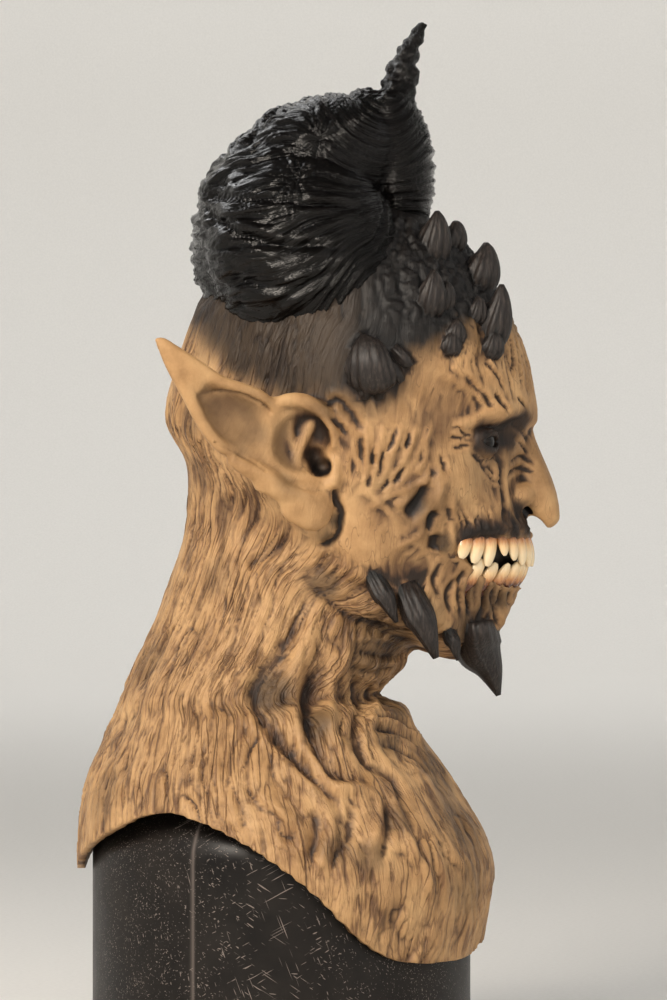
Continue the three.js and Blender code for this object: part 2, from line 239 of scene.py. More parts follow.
# The turns of the sides stand close together at the seam and evenly over the rest
plain = np.linspace(plain_start, 2 * math.pi - plain_start, column_sides - seam_sides)
turns = seam_turn + np.concatenate([np.linspace(-seam_reach, seam_reach, seam_sides), plain])
gap = np.angle(np.exp(1j * (turns - seam_turn)))
corners = [(0, 0, 0)]
for radius, height in profile:
    on_wall = radius > column_radius - 1
    pressed = seam_depth * np.exp(-((gap / seam_half_width) ** 2)) * on_wall
    for turn, press in zip(turns, pressed):
        corners.append(((radius - press) * math.cos(turn), (radius - press) * math.sin(turn), height))
corners.append((0, 0, column_top))
column = mesh_piece("column", corners, ring_faces(len(profile), column_sides))
x, y = np.array(corners)[:, :2].T
gap = np.angle(np.exp(1j * (np.arctan2(y, x) - seam_turn)))


def write_values(piece, name, values):
    """Keeps one number, or one point, for each corner under a name that the paint can read."""
    kind, key = ("FLOAT", "value") if values.ndim == 1 else ("FLOAT_VECTOR", "vector")
    attribute = piece.data.attributes.new(name, kind, "POINT")
    attribute.data.foreach_set(key, values.astype(np.float32).ravel())


# A painted highlight: a thin pale line down the seam, where the seam would catch the light
write_values(column, "seam", np.exp(-((gap / seam_line_half_width) ** 2)))

# Black acrylic sheet: a hazy shine, with long thin scratches at three slants and short nicks between
# them. Each is drawn about 1 mm wide, coarser than a real one, so that it shows. The scratch mask
# starts with a pale line down the seam, which is a painted highlight.
scuffed_black, tree = new_material("scuffed black acrylic sheet")
places = add_node(tree, "TexCoord", out="Object")
haze = add_node(
    tree, "TexNoise", {}, {"Vector": places, "Scale": 1 / (45 * mm), "Detail": 5, "Roughness": 0.65}
)
base = add_node(tree, "ValToRGB", {"stops": [(0.3, "#100e0d"), (0.72, "#231f1c")]}, {"Fac": haze})
seam = add_node(tree, "Attribute", {"attribute_name": "seam"}, out="Fac")
scratches_and_seam_highlight = add_node(tree, "Math", {"operation": "MULTIPLY"}, {0: seam, 1: 0.55})
for tilt, width, length, rarity in (
    (0.6, 0.7, 40, 0.76), (-0.5, 0.8, 50, 0.77), (1.2, 0.7, 34, 0.77), (0.1, 1.1, 8, 0.815),
):
    turned = add_node(
        tree, "Mapping", {"vector_type": "TEXTURE"},
        {"Vector": places, "Rotation": (tilt, 0, 0), "Scale": (1, length, 1)},
    )
    lines = add_node(tree, "TexNoise", {}, {"Vector": turned, "Scale": 1 / (width * mm), "Detail": 0})
    thin = add_node(tree, "MapRange", {}, {"Value": lines, "From Min": rarity, "From Max": rarity + 0.04})
    scratches_and_seam_highlight = add_node(tree, "Math", {"operation": "MAXIMUM"}, {0: scratches_and_seam_highlight, 1: thin})
nicked = add_node(
    tree, "Mix", {"data_type": "RGBA"}, {"Factor": scratches_and_seam_highlight, "A": base, "B": paint("#7a706a")}
)
gloss = add_node(
    tree, "MapRange", {}, {"Value": haze, "From Min": 0.3, "From Max": 0.75, "To Min": 0.3, "To Max": 0.52}
)
dents = add_node(tree, "Bump", {}, {"Strength": 0.25, "Distance": 0.4 * mm, "Height": scratches_and_seam_highlight})
finish_material(
    tree, {"Base Color": nicked, "Roughness": gloss, "Specular IOR Level": 0.2, "Normal": dents}
)
column.data.materials.append(scuffed_black)
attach(column, "root")
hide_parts("display_stand")

# Mask skin, first its plain form: one soft casting about 5 mm thick. The sections are those of the
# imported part, slanted eggs from under the hem up to the crown, and everything else of the skin is
# modelled onto them like clay.

wall = 5
section_waist = 0.55
skin_sections = np.array([
    # front y and z, back y and z, half width, narrowing of the front half
    (-119, 50, 122, 50, 126, 0),  # below the hem
    (-132, 122, 127, 126, 131, 0),  # bib
    (-109, 168, 122, 169, 119, 0),  # shoulder
    (-86, 201, 109, 201, 99, 0.05),  # foot of the neck
    (-76, 218, 103, 214, 90, 0.06),  # collar ridge
    (-59, 227, 96, 232, 81, 0.08),  # throat notch
    (-73, 243, 76, 276, 71, 0.1),  # throat
    (-82, 256, 60, 326, 66, 0.15),  # back of the under jaw
    (-106, 249, 58, 350, 64, 0.25),  # front of the under jaw
    (-130, 253, 60, 372, 68, 0.32),  # under the chin
    (-136, 270, 72, 398, 74, 0.36),  # chin
    (-150, 299, 66, 428, 79, 0.36),  # lower lip
    (-155, 323, 59, 449, 81, 0.34),  # upper lip
    (-149, 352, 49, 474, 83, 0.28),  # cheekbones
    (-153, 388, 38, 489, 82, 0.2),  # between the eyes
    (-159, 399, 33, 495, 80, 0.14),  # brow
    (-152, 435, 20, 509, 75, 0.08),  # forehead
    (-138, 471, 3, 523, 63, 0.05),  # top of the forehead
    (-114, 506, -22, 535, 42, 0),  # front of the crown
], float)
crown = (0, -66, 541)


def smooth_run(values, places):
    """Numbers or points at places from 0 to 1 on a smooth run through the given ones."""
    values = np.asarray(values, float)
    at = np.clip(np.asarray(places, float), 0, 1) * (len(values) - 1)
    low = np.minimum(at.astype(int), len(values) - 2)
    part = (at - low).reshape(at.shape + (1,) * (values.ndim - 1))
    start, end = values[low], values[low + 1]
    before, after = values[np.maximum(low - 1, 0)], values[np.minimum(low + 2, len(values) - 1)]
    ease = part * part * (3 - 2 * part)
    lean = (end - before) / 2 * (1 - part) - (after - start) / 2 * part
    return start + (end - start) * ease + part * (1 - part) * lean


def skin_point(places, turns):
    """Points of the plain form at places from hem to crown, and turns from the face to the right."""
    section = smooth_run(skin_sections, places)
    front, back = section[..., 0:2], section[..., 2:4]
    ahead = np.cos(turns)
    waist = front + (back - front) * section_waist
    end = np.where((ahead > 0)[..., None], front, back)
    pinch = 1 - section[..., 5] * np.maximum(ahead, 0) ** 2
    side = -section[..., 4] * np.sin(turns) * pinch
    return np.concatenate([side[..., None], waist + (end - waist) * np.abs(ahead)[..., None]], -1)


def skin_loft(name, rows, columns, inset=0):
    """The closed plain form, or one inset from it for the lining."""
    places, turns = np.meshgrid(
        np.linspace(0, 1, rows), -np.arange(columns) * 2 * math.pi / columns, indexing="ij"
    )
    points = skin_point(places, turns)
    foot = points[0].mean(0)
    along = np.gradient(points, axis=0)
    around = np.roll(points, -1, 1) - np.roll(points, 1, 1)
    out = np.cross(around, along)
    out /= np.linalg.norm(out, axis=-1, keepdims=True)
    points = points - out * inset
    corners = np.vstack([foot + (0, 0, inset), points.reshape(-1, 3), np.array(crown) - (0, 0, inset)])
    return mesh_piece(name, corners, ring_faces(rows, columns))


def apply_modifiers(piece):
    """Makes the piece's modifiers part of its mesh."""
    shaped = piece.evaluated_get(bpy.context.evaluated_depsgraph_get())
    mesh = bpy.data.meshes.new_from_object(shaped)
    plain = piece.data
    piece.modifiers.clear()
    piece.data = mesh
    bpy.data.meshes.remove(plain)


def thin_out(piece, most):
    """Merges the flattest faces of a piece until it has no more triangles than this."""
    piece.data.calc_loop_triangles()
    modifier = piece.modifiers.new("fewer_faces", "DECIMATE")
    modifier.ratio = min(1, most / len(piece.data.loop_triangles))
    apply_modifiers(piece)


def combine(piece, other, operation):
    """Joins another closed piece to this one, or cuts it away, and removes the other."""
    modifier = piece.modifiers.new("combine", "BOOLEAN")
    modifier.operation = operation
    modifier.solver = "MANIFOLD"
    modifier.material_mode = "TRANSFER"
    modifier.object = other
    apply_modifiers(piece)
    bpy.data.objects.remove(other)


def tube(
    name, path, wide, deep=None, sides=16, steps=24, ribs=0, rib_depth=0, across=(1, 0, 0), power=1
):
    """A closed round body along a path, with its half width and depth running along it."""
    share = np.linspace(0, 1, steps) ** power
    middle = smooth_run(path, share)
    half_wide = smooth_run(wide, share)
    half_deep = half_wide if deep is None else smooth_run(deep, share)
    along = np.gradient(middle, axis=0)
    along /= np.linalg.norm(along, axis=1, keepdims=True)
    first = np.array(across, float) - along * (along @ np.array(across, float))[:, None]
    first /= np.linalg.norm(first, axis=1, keepdims=True)
    second = np.cross(along, first)
    turns = np.arange(sides) * 2 * math.pi / sides
    # The ribs are made uneven by two slower waves, and fade towards the tip
    rib_wave = np.abs(np.cos(turns * ribs / 2)) * 2 - 1
    rib_wave = rib_wave + 0.5 * np.cos(turns * (ribs // 2 + 1) + 1.3) + 0.4 * np.cos(3 * turns + 0.7)
    swell = 1 + rib_depth * rib_wave[None] * (1 - 0.55 * share)[:, None]
    rings = (
        middle[:, None]
        + first[:, None] * (half_wide[:, None] * swell * np.cos(turns))[..., None]
        + second[:, None] * (half_deep[:, None] * swell * np.sin(turns))[..., None]
    )
    corners = np.vstack([middle[0], rings.reshape(-1, 3), middle[-1]])
    return mesh_piece(name, corners, ring_faces(steps, sides))


def egg(name, middle, radii, turn=0, sides=32):
    """A closed egg whose radii run along x, y and z, turned about x."""
    rows = sides // 2
    heights = -np.cos(np.linspace(0, math.pi, rows + 2)[1:-1])
    turns = np.arange(sides) * 2 * math.pi / sides
    reach = np.sqrt(1 - heights**2)
    rings = np.stack(
        [reach[:, None] * np.cos(turns), reach[:, None] * np.sin(turns), heights[:, None] + 0 * turns], -1
    )
    corners = np.vstack([(0, 0, -1), rings.reshape(-1, 3), (0, 0, 1)]) * radii
    tilt = np.array([
        (1, 0, 0),
        (0, math.cos(turn), -math.sin(turn)),
        (0, math.sin(turn), math.cos(turn)),
    ])
    return mesh_piece(name, corners @ tilt.T + middle, ring_faces(rows, sides))


def mirror_copy(piece):
    """A copy of the piece on the other side of x = 0."""
    mesh = piece.data.copy()
    places = np.empty(len(mesh.vertices) * 3)
    mesh.vertices.foreach_get("co", places)
    places[0::3] *= -1
    mesh.vertices.foreach_set("co", places)
    mesh.flip_normals()
    copy = bpy.data.objects.new(piece.name + "_left", mesh)
    bpy.context.scene.collection.objects.link(copy)
    return copy


# The side view's map onto the skin: for a y and z, the point of the plain form on the right side
map_rows, map_columns = 220, 160
map_places, map_turns = np.meshgrid(
    np.linspace(0, 1, map_rows), np.linspace(0, math.pi, map_columns), indexing="ij"
)
map_points = skin_point(map_places, map_turns).reshape(-1, 3)
side_map = KDTree(len(map_points))
for index, point in enumerate(map_points):
    side_map.insert((0, point[1], point[2]), index)
side_map.balance()


def on_skin(y, z):
    """The point of the plain form's right side that the side view shows at y and z."""
    return map_points[side_map.find((0, y, z))[1]]


body = skin_loft("mask_skin", 200, 160)

# Nose: a narrow bridge that swells into a long drooping hook between two curled wings. It and the
# brows over it were carved with the head, and are cast in one with the skin.

nose_path = [
    (0, -143, 402), (0, -147, 388), (0, -151, 370), (0, -156, 355), (0, -162, 343), (0, -168, 332.5),
]
nose_widths = [8, 8, 11, 13.5, 11, 5.5]
nose_depths = [9, 9, 12, 13, 10.8, 5.6]
combine(body, tube("nose", nose_path, nose_widths, nose_depths), "UNION")
combine(body, egg("nose_ball", (0, -162.5, 343), (9, 9.5, 10), 0.5), "UNION")
combine(body, egg("nose_tip", (0, -164.3, 337.6), (7.5, 8.4, 8.3)), "UNION")
for side in (-1, 1):
    combine(body, egg("nose_wing", (side * 13, -147, 350), (7.5, 9.5, 8), -0.3), "UNION")
    brow = [(side * 4, -151, 401), (side * 20, -146, 403), (side * 42, -133, 402), (side * 60, -108, 392)]
    combine(body, tube("brow_ridge", brow, [5, 7, 7, 3], [6, 8, 7, 3]), "UNION")
combine(body, egg("under_nose", (0, -158, 330), (15, 5.5, 9), -0.65), "DIFFERENCE")


def read_corners(piece):
    """The piece's corners in millimetres."""
    places = np.empty(len(piece.data.vertices) * 3)
    piece.data.vertices.foreach_get("co", places)
    return places.reshape(-1, 3) / mm


def write_corners(piece, corners):
    """Moves the piece's corners to places in millimetres."""
    piece.data.vertices.foreach_set("co", (corners * mm).ravel())
    piece.data.update()


# Ear: a long pointed leaf with a thick rolled rim, a second arch in front, a bowl behind each and a
# smooth hanging lobe. It is solid silicone, cast in one with the skin, and leans away from the head.

ear_lean = math.tan(0.4)
ear_root = -34
ear_root_side = on_skin(ear_root, 372)[0]


def ear_points(points):
    """Side-view points of the ear, as (y, z, out), set on the leaning leaf."""
    return [(ear_root_side - (y - ear_root) * ear_lean - out, y, z) for y, z, out in points]


def ear_egg(middle, radii, turn=0):
    """A closed egg set on the leaning leaf, with radii out from it, along y and along z."""
    out, y, z = middle[2], middle[0], middle[1]
    bowl = egg("ear_egg", (0, y, z), radii, turn, 48)
    places = read_corners(bowl)
    places[:, 0] += ear_root_side - (places[:, 1] - ear_root) * ear_lean - out
    write_corners(bowl, places)
    return bowl


ear_outline = [
    (-34, 378), (-30, 394), (-22, 405), (-2, 410), (14, 411), (38, 420), (58, 433), (73, 444),
    (65, 430), (55, 411), (46, 394), (34, 377), (21, 369), (15, 357), (3, 350), (-7, 335),
    (-21, 329), (-31, 336), (-36, 356),
]
outline = smooth_run(ear_outline + ear_outline[:1], np.linspace(0, 1, 120)[:-1])
leaf_half = 2.4
leaf_sunk = 3
edge_taper = 2
leaf_middle = (-6, 384)
outwards = outline - outline.mean(0)
outwards /= np.linalg.norm(outwards, axis=1, keepdims=True)
rings = [ear_points([(*leaf_middle, -leaf_half - leaf_sunk)])]
for grown, out in ((-edge_taper, -leaf_half), (0, 0), (-edge_taper, leaf_half)):
    rings.append(ear_points([(y, z, out - leaf_sunk) for y, z in outline + outwards * grown]))
rings.append(ear_points([(*leaf_middle, leaf_half - leaf_sunk)]))
ear = mesh_piece("ear", np.vstack(rings), ring_faces(3, len(outline)))
ear_rolls = {
    "upper_rim": (
        [(70, 443, 0), (62, 436, 0), (50, 427, 0.5), (34, 417.5, 1), (20, 413, 1), (9, 408, 0.5),
         (2, 400, -1.5)],
        [2.5, 4.2, 5.2, 4.4, 4.3, 4.2, 2.5],
    ),
    "back_rim": (
        [(72, 444, 0), (63, 428, 0), (53, 409, 0), (44, 391, 0), (34, 379, 0), (25, 375, -1)],
        [2, 4.4, 4.4, 4, 4.2, 3],
    ),
    "tip_web": ([(62, 434, 0), (52, 422, 0), (46, 413, -1)], [4, 5.5, 4]),
    "front_arch": (
        [(3, 403, -1), (-4, 407, 0), (-14, 407, 1), (-24, 402, 1.5), (-30, 392, 1), (-32, 378, 0)],
        [3, 4.4, 5, 5, 4.6, 4],
    ),
    "divide": ([(4, 402, -3), (8, 392, -3), (9, 380, -3), (4, 370, -2)], [3, 3.4, 3.4, 3]),
    "inner_fold": ([(-14, 398, -6), (-10, 385, -4.5), (-4, 372, -3.5)], [2, 3.2, 2.6]),
    "lower_band": (
        [(30, 372, -1), (20, 367, 0), (8, 361, 0.5), (-2, 352, 0.5), (-16, 350, 0)],
        [3.5, 5.4, 6, 6.6, 6],
    ),
    "front_tab": ([(-33, 372, -1), (-34, 362, 0), (-31, 354, 0)], [3, 4, 4]),
}
for name, (path, radii) in ear_rolls.items():
    combine(ear, tube(name, ear_points(path), radii, across=(0.9, 0, 0.4)), "UNION")
ear_swells = [
    ((-15, 345, -1), (6.5, 15, 14), 0),
    ((-20, 339, -1), (6, 12, 11), 0),
    ((6, 358, -1), (5, 10, 8), 0),
    ((-14, 382, -9), (13, 20, 19), 0),
    ((24, 396, -4), (6.5, 27, 14), 0.68),
]
for middle, radii, turn in ear_swells:
    combine(ear, ear_egg(middle, radii, turn), "UNION")
ear_bowls = [
    ((-13.5, 381.5, 3), (14, 18, 19), 0.2),
    ((-24, 368, -2), (14, 8, 7), 0.3),
    ((-21, 374, -3), (12, 7, 8), 0),
    ((24, 396, 2), (6.5, 25, 12.5), 0.68),
]
bowl_folds = [
    ([(-22, 401, -4), (-17, 390, -8), (-12, 378, -9), (-9, 366, -7)], [2, 4, 3.6, 2.5]),
    ([(-7, 400, -5), (-6, 388, -9), (-9, 376, -10), (-13, 366, -8)], [2, 3, 3, 2]),
]
ear_parts = [(ear, "UNION")]
ear_parts += [(ear_egg(middle, radii, turn), "DIFFERENCE") for middle, radii, turn in ear_bowls]
ear_parts += [(tube("bowl_fold", ear_points(path), radii), "UNION") for path, radii in bowl_folds]
for part, operation in ear_parts:
    combine(body, mirror_copy(part), operation)
    combine(body, part, operation)

# The clay is evened out to one fine mesh, and its joints are smoothed, before the folds and
# wrinkles are drawn into it


def even_mesh(piece, step):
    """Makes the piece's mesh anew, in even squares of a step's size."""
    modifier = piece.modifiers.new("even_mesh", "REMESH")
    modifier.mode = "VOXEL"
    modifier.voxel_size = step * mm
    apply_modifiers(piece)


def read_normals(piece):
    """The outward direction at each of the piece's corners."""
    normals = np.empty(len(piece.data.vertices) * 3, np.float32)
    piece.data.vertex_normals.foreach_get("vector", normals)
    return normals.reshape(-1, 3).astype(float)


def read_edges(piece):
    """The corner numbers at the two ends of each of the piece's edges."""
    edges = np.empty(len(piece.data.edges) * 2, np.int32)
    piece.data.edges.foreach_get("vertices", edges)
    return edges.reshape(-1, 2)


def relax(values, edges, rounds, share=0.5):
    """Moves each corner's values towards the mean of its neighbours' values."""
    count = len(values)
    ends = np.concatenate([edges[:, 0], edges[:, 1]])
    others = np.concatenate([edges[:, 1], edges[:, 0]])
    degree = np.maximum(np.bincount(ends, minlength=count), 1)
    values = values.copy()
    for _ in range(rounds):
        for axis in range(values.shape[1]):
            mean = np.bincount(ends, values[others, axis], count) / degree
            values[:, axis] += (mean - values[:, axis]) * share
    return values


def noise(points, cell, seed):
    """Smooth random numbers from about -1 to 1 at points, with swells of a cell's size."""
    points = points / cell
    low = np.floor(points).astype(np.int64)
    part = points - low
    ease = part**3 * (part * (part * 6 - 15) + 10)
    total = np.zeros(len(points))
    # Large odd numbers scramble each grid corner's place into a random slope
    for corner in np.ndindex(2, 2, 2):
        at = low + corner
        mixed = at @ (374761393, 668265263, 1440662683) + seed * 1274126177
        mixed &= 0xFFFFFFFF
        mixed = ((mixed ^ (mixed >> 13)) * 1274126177) & 0xFFFFFFFF
        mixed ^= mixed >> 16
        slope = np.stack([mixed & 1023, (mixed >> 10) & 1023, (mixed >> 20) & 1023], 1) / 511.5 - 1
        weight = np.prod(np.where(corner, ease, 1 - ease), axis=1)
        total += weight * np.sum(slope * (part - corner), axis=1)
    return total * 1.4


def noise_shift(points, cell, seed):
    """Three runs of smooth noise side by side, to move points by."""
    return np.stack([noise(points, cell, seed + axis) for axis in range(3)], 1)


def ridged(points, cell, seed, steepness):
    """Broad ridges at 1 with narrow grooves down to 0 between them, of a cell's size."""
    return np.minimum(np.abs(noise(points, cell, seed)) * steepness, 1)


def smooth_step(values, low, high):
    """0 below the low value, 1 above the high one, and an even rise between them."""
    share = np.clip((values - low) / (high - low), 0, 1)
    return share * share * (3 - 2 * share)


skin_step = 1.55
even_mesh(body, skin_step)
corners = relax(read_corners(body), read_edges(body), 5)
write_corners(body, corners)

# Where each corner lies on the plain form: its place from hem to crown, its turn from the face,
# and how far it stands off. The flow is a straightened copy of the skin that wrinkles run along.

flow_steps = 240
flow_places = np.linspace(0, 1, flow_steps)
flow_turns = np.linspace(-math.pi, math.pi, flow_steps + 1)[:-1]
flow_grid = skin_point(*np.meshgrid(flow_places, flow_turns, indexing="ij"))
flow_map = KDTree(flow_steps**2)
for index, point in enumerate(flow_grid.reshape(-1, 3)):
    flow_map.insert(point, index)
flow_map.balance()
place_step = np.gradient(flow_grid, axis=0)
turn_step = (np.roll(flow_grid, -1, 1) - np.roll(flow_grid, 1, 1)) / 2
side_run = skin_point(flow_places, np.full(flow_steps, math.pi / 2))
side_length = np.concatenate([[0], np.cumsum(np.linalg.norm(np.diff(side_run, axis=0), axis=1))])
flow_radius = 85
flow_stretch = 8


def find_flow(points):
    """Places, turns, distances off the plain form, and flow points, of points in millimetres."""
    index = np.array([flow_map.find(point)[1] for point in points])
    row, column = index // flow_steps, index % flow_steps
    near = flow_grid[row, column]
    apart = points - near
    across, along = turn_step[row, column], place_step[row, column]
    steps_along, steps_across = [
        np.sum(apart * step, 1) / np.maximum(np.sum(step**2, 1), 1e-6) for step in (along, across)
    ]
    place = flow_places[row] + steps_along / (flow_steps - 1)
    turn = flow_turns[column] + steps_across * 2 * math.pi / flow_steps
    off = np.linalg.norm(apart, axis=1)
    length = np.interp(place, flow_places, side_length) / flow_stretch
    flow = np.stack([flow_radius * np.cos(turn), flow_radius * np.sin(turn), length], 1)
    return place, turn, off, flow


place, turn, off, flow = find_flow(corners)


def to_right(points):
    """The points, with those of the left side brought over to the right."""
    return np.column_stack([-np.abs(points[:, 0]), points[:, 1:]])


def relax_line(line):
    """A line with its small jumps evened out."""
    for _ in range(3):
        line[1:-1] = (line[:-2] + line[1:-1] + line[2:]) / 3
    return line


class Relief:
    """Heights to raise a piece's corners by. What is drawn in the side view goes on both sides."""

    def __init__(self, piece):
        self.corners = read_corners(piece)
        self.normals = read_normals(piece)
        self.side = to_right(self.corners)
        self.height = np.zeros(len(self.corners))

    def lift(self, y, z):
        """The outermost point of the right side within a finger's reach of a side-view point."""
        finger = 2.5
        gap = np.hypot(self.side[:, 1] - y, self.side[:, 2] - z)
        near = np.nonzero(gap < finger)[0]
        index = near[self.side[near, 0].argmin()] if len(near) else gap.argmin()
        return self.side[index]

    def line(self, path, width, rise, lip=0.0, taper=0.25):
        """Raises a soft line through side-view points, or presses it in, with a lip on each side."""
        points_each = 9
        line = smooth_run(path, np.linspace(0, 1, points_each * len(path)))
        line = relax_line(np.array([self.lift(*point) for point in line]))
        reach = 3.2 * width
        inside = np.all((self.side > line.min(0) - reach) & (self.side < line.max(0) + reach), axis=1)
        near = np.nonzero(inside)[0]
        gaps = np.linalg.norm(self.side[near][:, None] - line[None], axis=2)
        closest = gaps.argmin(1)
        gap = gaps[np.arange(len(near)), closest]
        share = closest / (len(line) - 1)
        ends = np.clip(np.minimum(share, 1 - share) / taper + 0.15, 0, 1)
        shape = rise * np.exp(-((gap / width) ** 2)) + lip * np.exp(-(((gap - 2 * width) / width) ** 2))
        self.height[near] += shape * ends

    def mound(self, y, z, radius, rise):
        """Raises a soft mound at a side-view point, or presses a hollow."""
        gap = np.linalg.norm(self.side - self.lift(y, z), axis=1)
        self.height += rise * np.exp(-((gap / radius) ** 2))

    def shaped(self):
        """The corners after raising."""
        return self.corners + self.normals * self.height[:, None]


skin = Relief(body)

# Face: the bones and hollows under the skin
skin.mound(-112, 362, 15, 4)  # cheekbone
skin.mound(-96, 350, 9, 2.5)
skin.mound(-72, 345, 16, -2.5)  # hollow cheek
skin.mound(-96, 400, 15, -1.2)  # temple
skin.mound(-141, 387, 7, -3.2)  # inner corner of the eye
skin.mound(-146, 392, 6, -2)
skin.mound(-132, 331, 12, 3.5)  # muzzle over the upper teeth
skin.mound(-60, 318, 17, 3)  # jaw corner
skin.mound(-138, 276, 9, 3)  # chin
skin.mound(-128, 418, 12, 2)  # forehead boss
skin.mound(-92, 291, 5, 3)  # lumps round the jaw spikes
skin.mound(-96, 281, 5, 3)
skin.mound(-107, 263, 7, 3.5)
skin.mound(-134, 268, 5, 2.5)

# Face: creases, as side-view lines with their width, depth and raised lips. All are cut a little
# wider and shallower than listed, as soft silicone rounds them.
face_creases = [
    ([(-114, 423), (-122, 413), (-130, 405)], 1.3, -2.4, 1.0),  # forehead furrows
    ([(-128, 431), (-135, 423), (-138, 415)], 1.2, -2.0, 0.8),
    ([(-132, 411), (-139, 406), (-143, 400)], 1.3, -2.4, 1.0),
    ([(-148, 411), (-153, 405)], 1.1, -2.0, 0.6),
    ([(-104, 428), (-116, 416), (-122, 404)], 1.6, -1.2, 0.6),
    ([(-107, 390), (-118, 385)], 1.0, -1.5, 0.6),  # outer corner of the eye
    ([(-106, 385), (-117, 382.5)], 1.0, -1.5, 0.6),
    ([(-107, 378), (-117, 380)], 1.0, -1.5, 0.6),
    ([(-118, 375), (-126, 367), (-136, 361)], 1.2, -2.0, 1.0),  # bags under the eye
    ([(-120, 379), (-129, 371), (-139, 369)], 1.0, -1.6, 0.8),
    ([(-121, 369), (-130, 361), (-138, 358)], 1.1, -1.6, 0.8),
    ([(-139, 374), (-137.5, 360), (-138.5, 345), (-136, 331)], 1.9, -2.8, 1.2),  # beside the nose
    ([(-141, 361), (-147, 366), (-158, 367)], 1.2, -1.6, 0.6),  # over the nose wing
    ([(-143, 370), (-151, 374), (-158, 370)], 1.1, -1.4, 0.5),
    ([(-146, 392), (-151, 388), (-154, 383)], 1.1, -1.4, 0.5),  # bridge
    ([(-145, 385), (-150, 381), (-154, 376)], 1.0, -1.2, 0.4),
    ([(-122, 305), (-116, 290), (-118, 274)], 1.7, -2.6, 1.2),  # stringy chin
    ([(-129, 299), (-126, 285), (-123, 272)], 1.6, -2.6, 1.2),
    ([(-137, 291), (-133, 279), (-135, 266)], 1.6, -2.6, 1.2),
    ([(-112, 300), (-104, 290), (-106, 276)], 1.6, -2.0, 0.8),
    ([(-100, 308), (-95, 297), (-97, 288)], 1.6, -1.8, 0.8),
    ([(-30, 408), (-39, 402), (-50, 389)], 2.0, -2.0, 1.2),  # in front of the ear
    ([(-32, 399), (-38, 393), (-42, 384)], 1.6, -1.5, 0.8),
]
for path, width, depth, lip in face_creases:
    skin.line(path, width * 1.2, depth * 0.9, lip)

# Face: the slit and stringy cheek, pits between raised strands that slant down and forwards
for y, top, long, slant, width, depth in (
    (-50, 384, 16, -1, 1.7, -2.2), (-58.5, 376, 10, -1, 1.8, -3.2), (-64, 376, 17, 3, 1.5, -2.8),
    (-72, 388, 13, 5, 1.5, -2.0), (-80.5, 387, 11, 2, 1.4, -2.6), (-89, 379, 13, 4, 1.4, -2.2),
    (-77, 367, 12, 8, 1.7, -2.8), (-95, 366, 9, 3, 1.6, -1.6), (-69, 361, 9, 6, 1.6, -2.0),
    (-46, 372, 12, 0, 1.6, -1.4), (-56, 362, 10, 3, 1.5, -1.4), (-100, 374, 12, -2, 1.5, -1.4),
):
    path = [(y, top), (y + slant * 0.3, top - long * 0.5), (y + slant, top - long)]
    skin.line(path, width, depth, 1.2, 0.5)
skin.line([(-90, 357), (-86, 346), (-79, 335)], 4.2, -4.8, 1.2)
skin.mound(24, 394, 9, 1.6)  # the ear's long bowl
skin.line([(-96, 341), (-91, 328)], 2.6, -3.8, 1.2)
skin.line([(-97, 325), (-95, 315)], 4.6, -3.8, 1.2)
skin.line([(-104, 342), (-106, 332)], 2.0, -2.2, 0.8)
for path, width, rise in (
    ([(-54, 392), (-55, 374), (-53, 352)], 2.2, 1.8),
    ([(-66, 393), (-62, 374), (-60, 354)], 2.0, 2.0),
    ([(-77, 392), (-70, 376), (-67, 360)], 2.0, 2.0),
    ([(-86, 392), (-80, 377), (-74, 362)], 2.0, 1.8),
    ([(-94, 392), (-88, 374), (-86, 361)], 2.0, 1.8),
    ([(-98, 362), (-84, 355), (-66, 347), (-56, 340)], 2.4, 1.8),
    ([(-52, 354), (-66, 340), (-78, 328)], 2.2, 1.6),
    ([(-104, 364), (-97, 352), (-98, 337)], 3.4, 2.6),
    ([(-92, 361), (-82, 348), (-72, 342)], 2.6, 2.2),
    ([(-94, 333), (-83, 323), (-72, 318)], 2.6, 2.2),
    ([(-107, 350), (-105.5, 332), (-107, 314)], 2.6, 2.4),
    ([(-101, 334), (-100, 322), (-103, 310)], 2.0, 1.8),
):
    skin.line(path, width, rise)

# Ear: crisp creases under the upper rim and round the lobe
for path, width, depth in (
    ([(42, 411), (27, 409.5), (17, 406), (8, 401), (2, 397)], 1.0, -2.4),
    ([(33, 381), (22, 376), (12, 371), (4, 365)], 1.0, -1.6),
    ([(-12, 358), (-20, 355), (-28, 354)], 1.2, -1.4),
    ([(-35, 352), (-38, 341), (-37, 330), (-31, 321), (-20, 317)], 2.2, -3.6),
):
    skin.line(path, width, depth, 0, 0.15)

# Lips: raised wrinkled rims above and below the teeth, gathered in small upright folds
sculptor = np.random.default_rng(3)
upper_folds = 13
lower_folds = 8
for number in range(upper_folds):
    y = -111 - 3.6 * number + sculptor.uniform(-1.6, 1.6)
    top, lean = 344 - sculptor.uniform(2, 13), sculptor.uniform(-2, 4)
    path = [(y + lean, top), (y + sculptor.uniform(-1, 1), (top + 326) / 2), (y + 1, 326)]
    skin.line(path, sculptor.uniform(0.9, 1.5), -sculptor.uniform(0.5, 1.8), 0.7, 0.4)
for number in range(lower_folds):
    y = -110 - 5.2 * number + sculptor.uniform(-1.2, 1.2)
    path = [(y - 3, 303 - number), (y, 292 - number), (y - 1.5, 282 - sculptor.uniform(0, 9))]
    skin.line(path, 1.6, -sculptor.uniform(1.2, 2.4), 1.2, 0.4)
skin.line([(-110, 318), (-120, 328), (-138, 330), (-157, 329)], 3.4, 2.4)
skin.line([(-110, 311), (-120, 301), (-130, 295), (-152, 291)], 3.2, 2.0)
skin.line([(-30, 306), (-53, 298), (-70, 290), (-92, 278), (-107, 259)], 4.5, 2.5)  # jaw edge

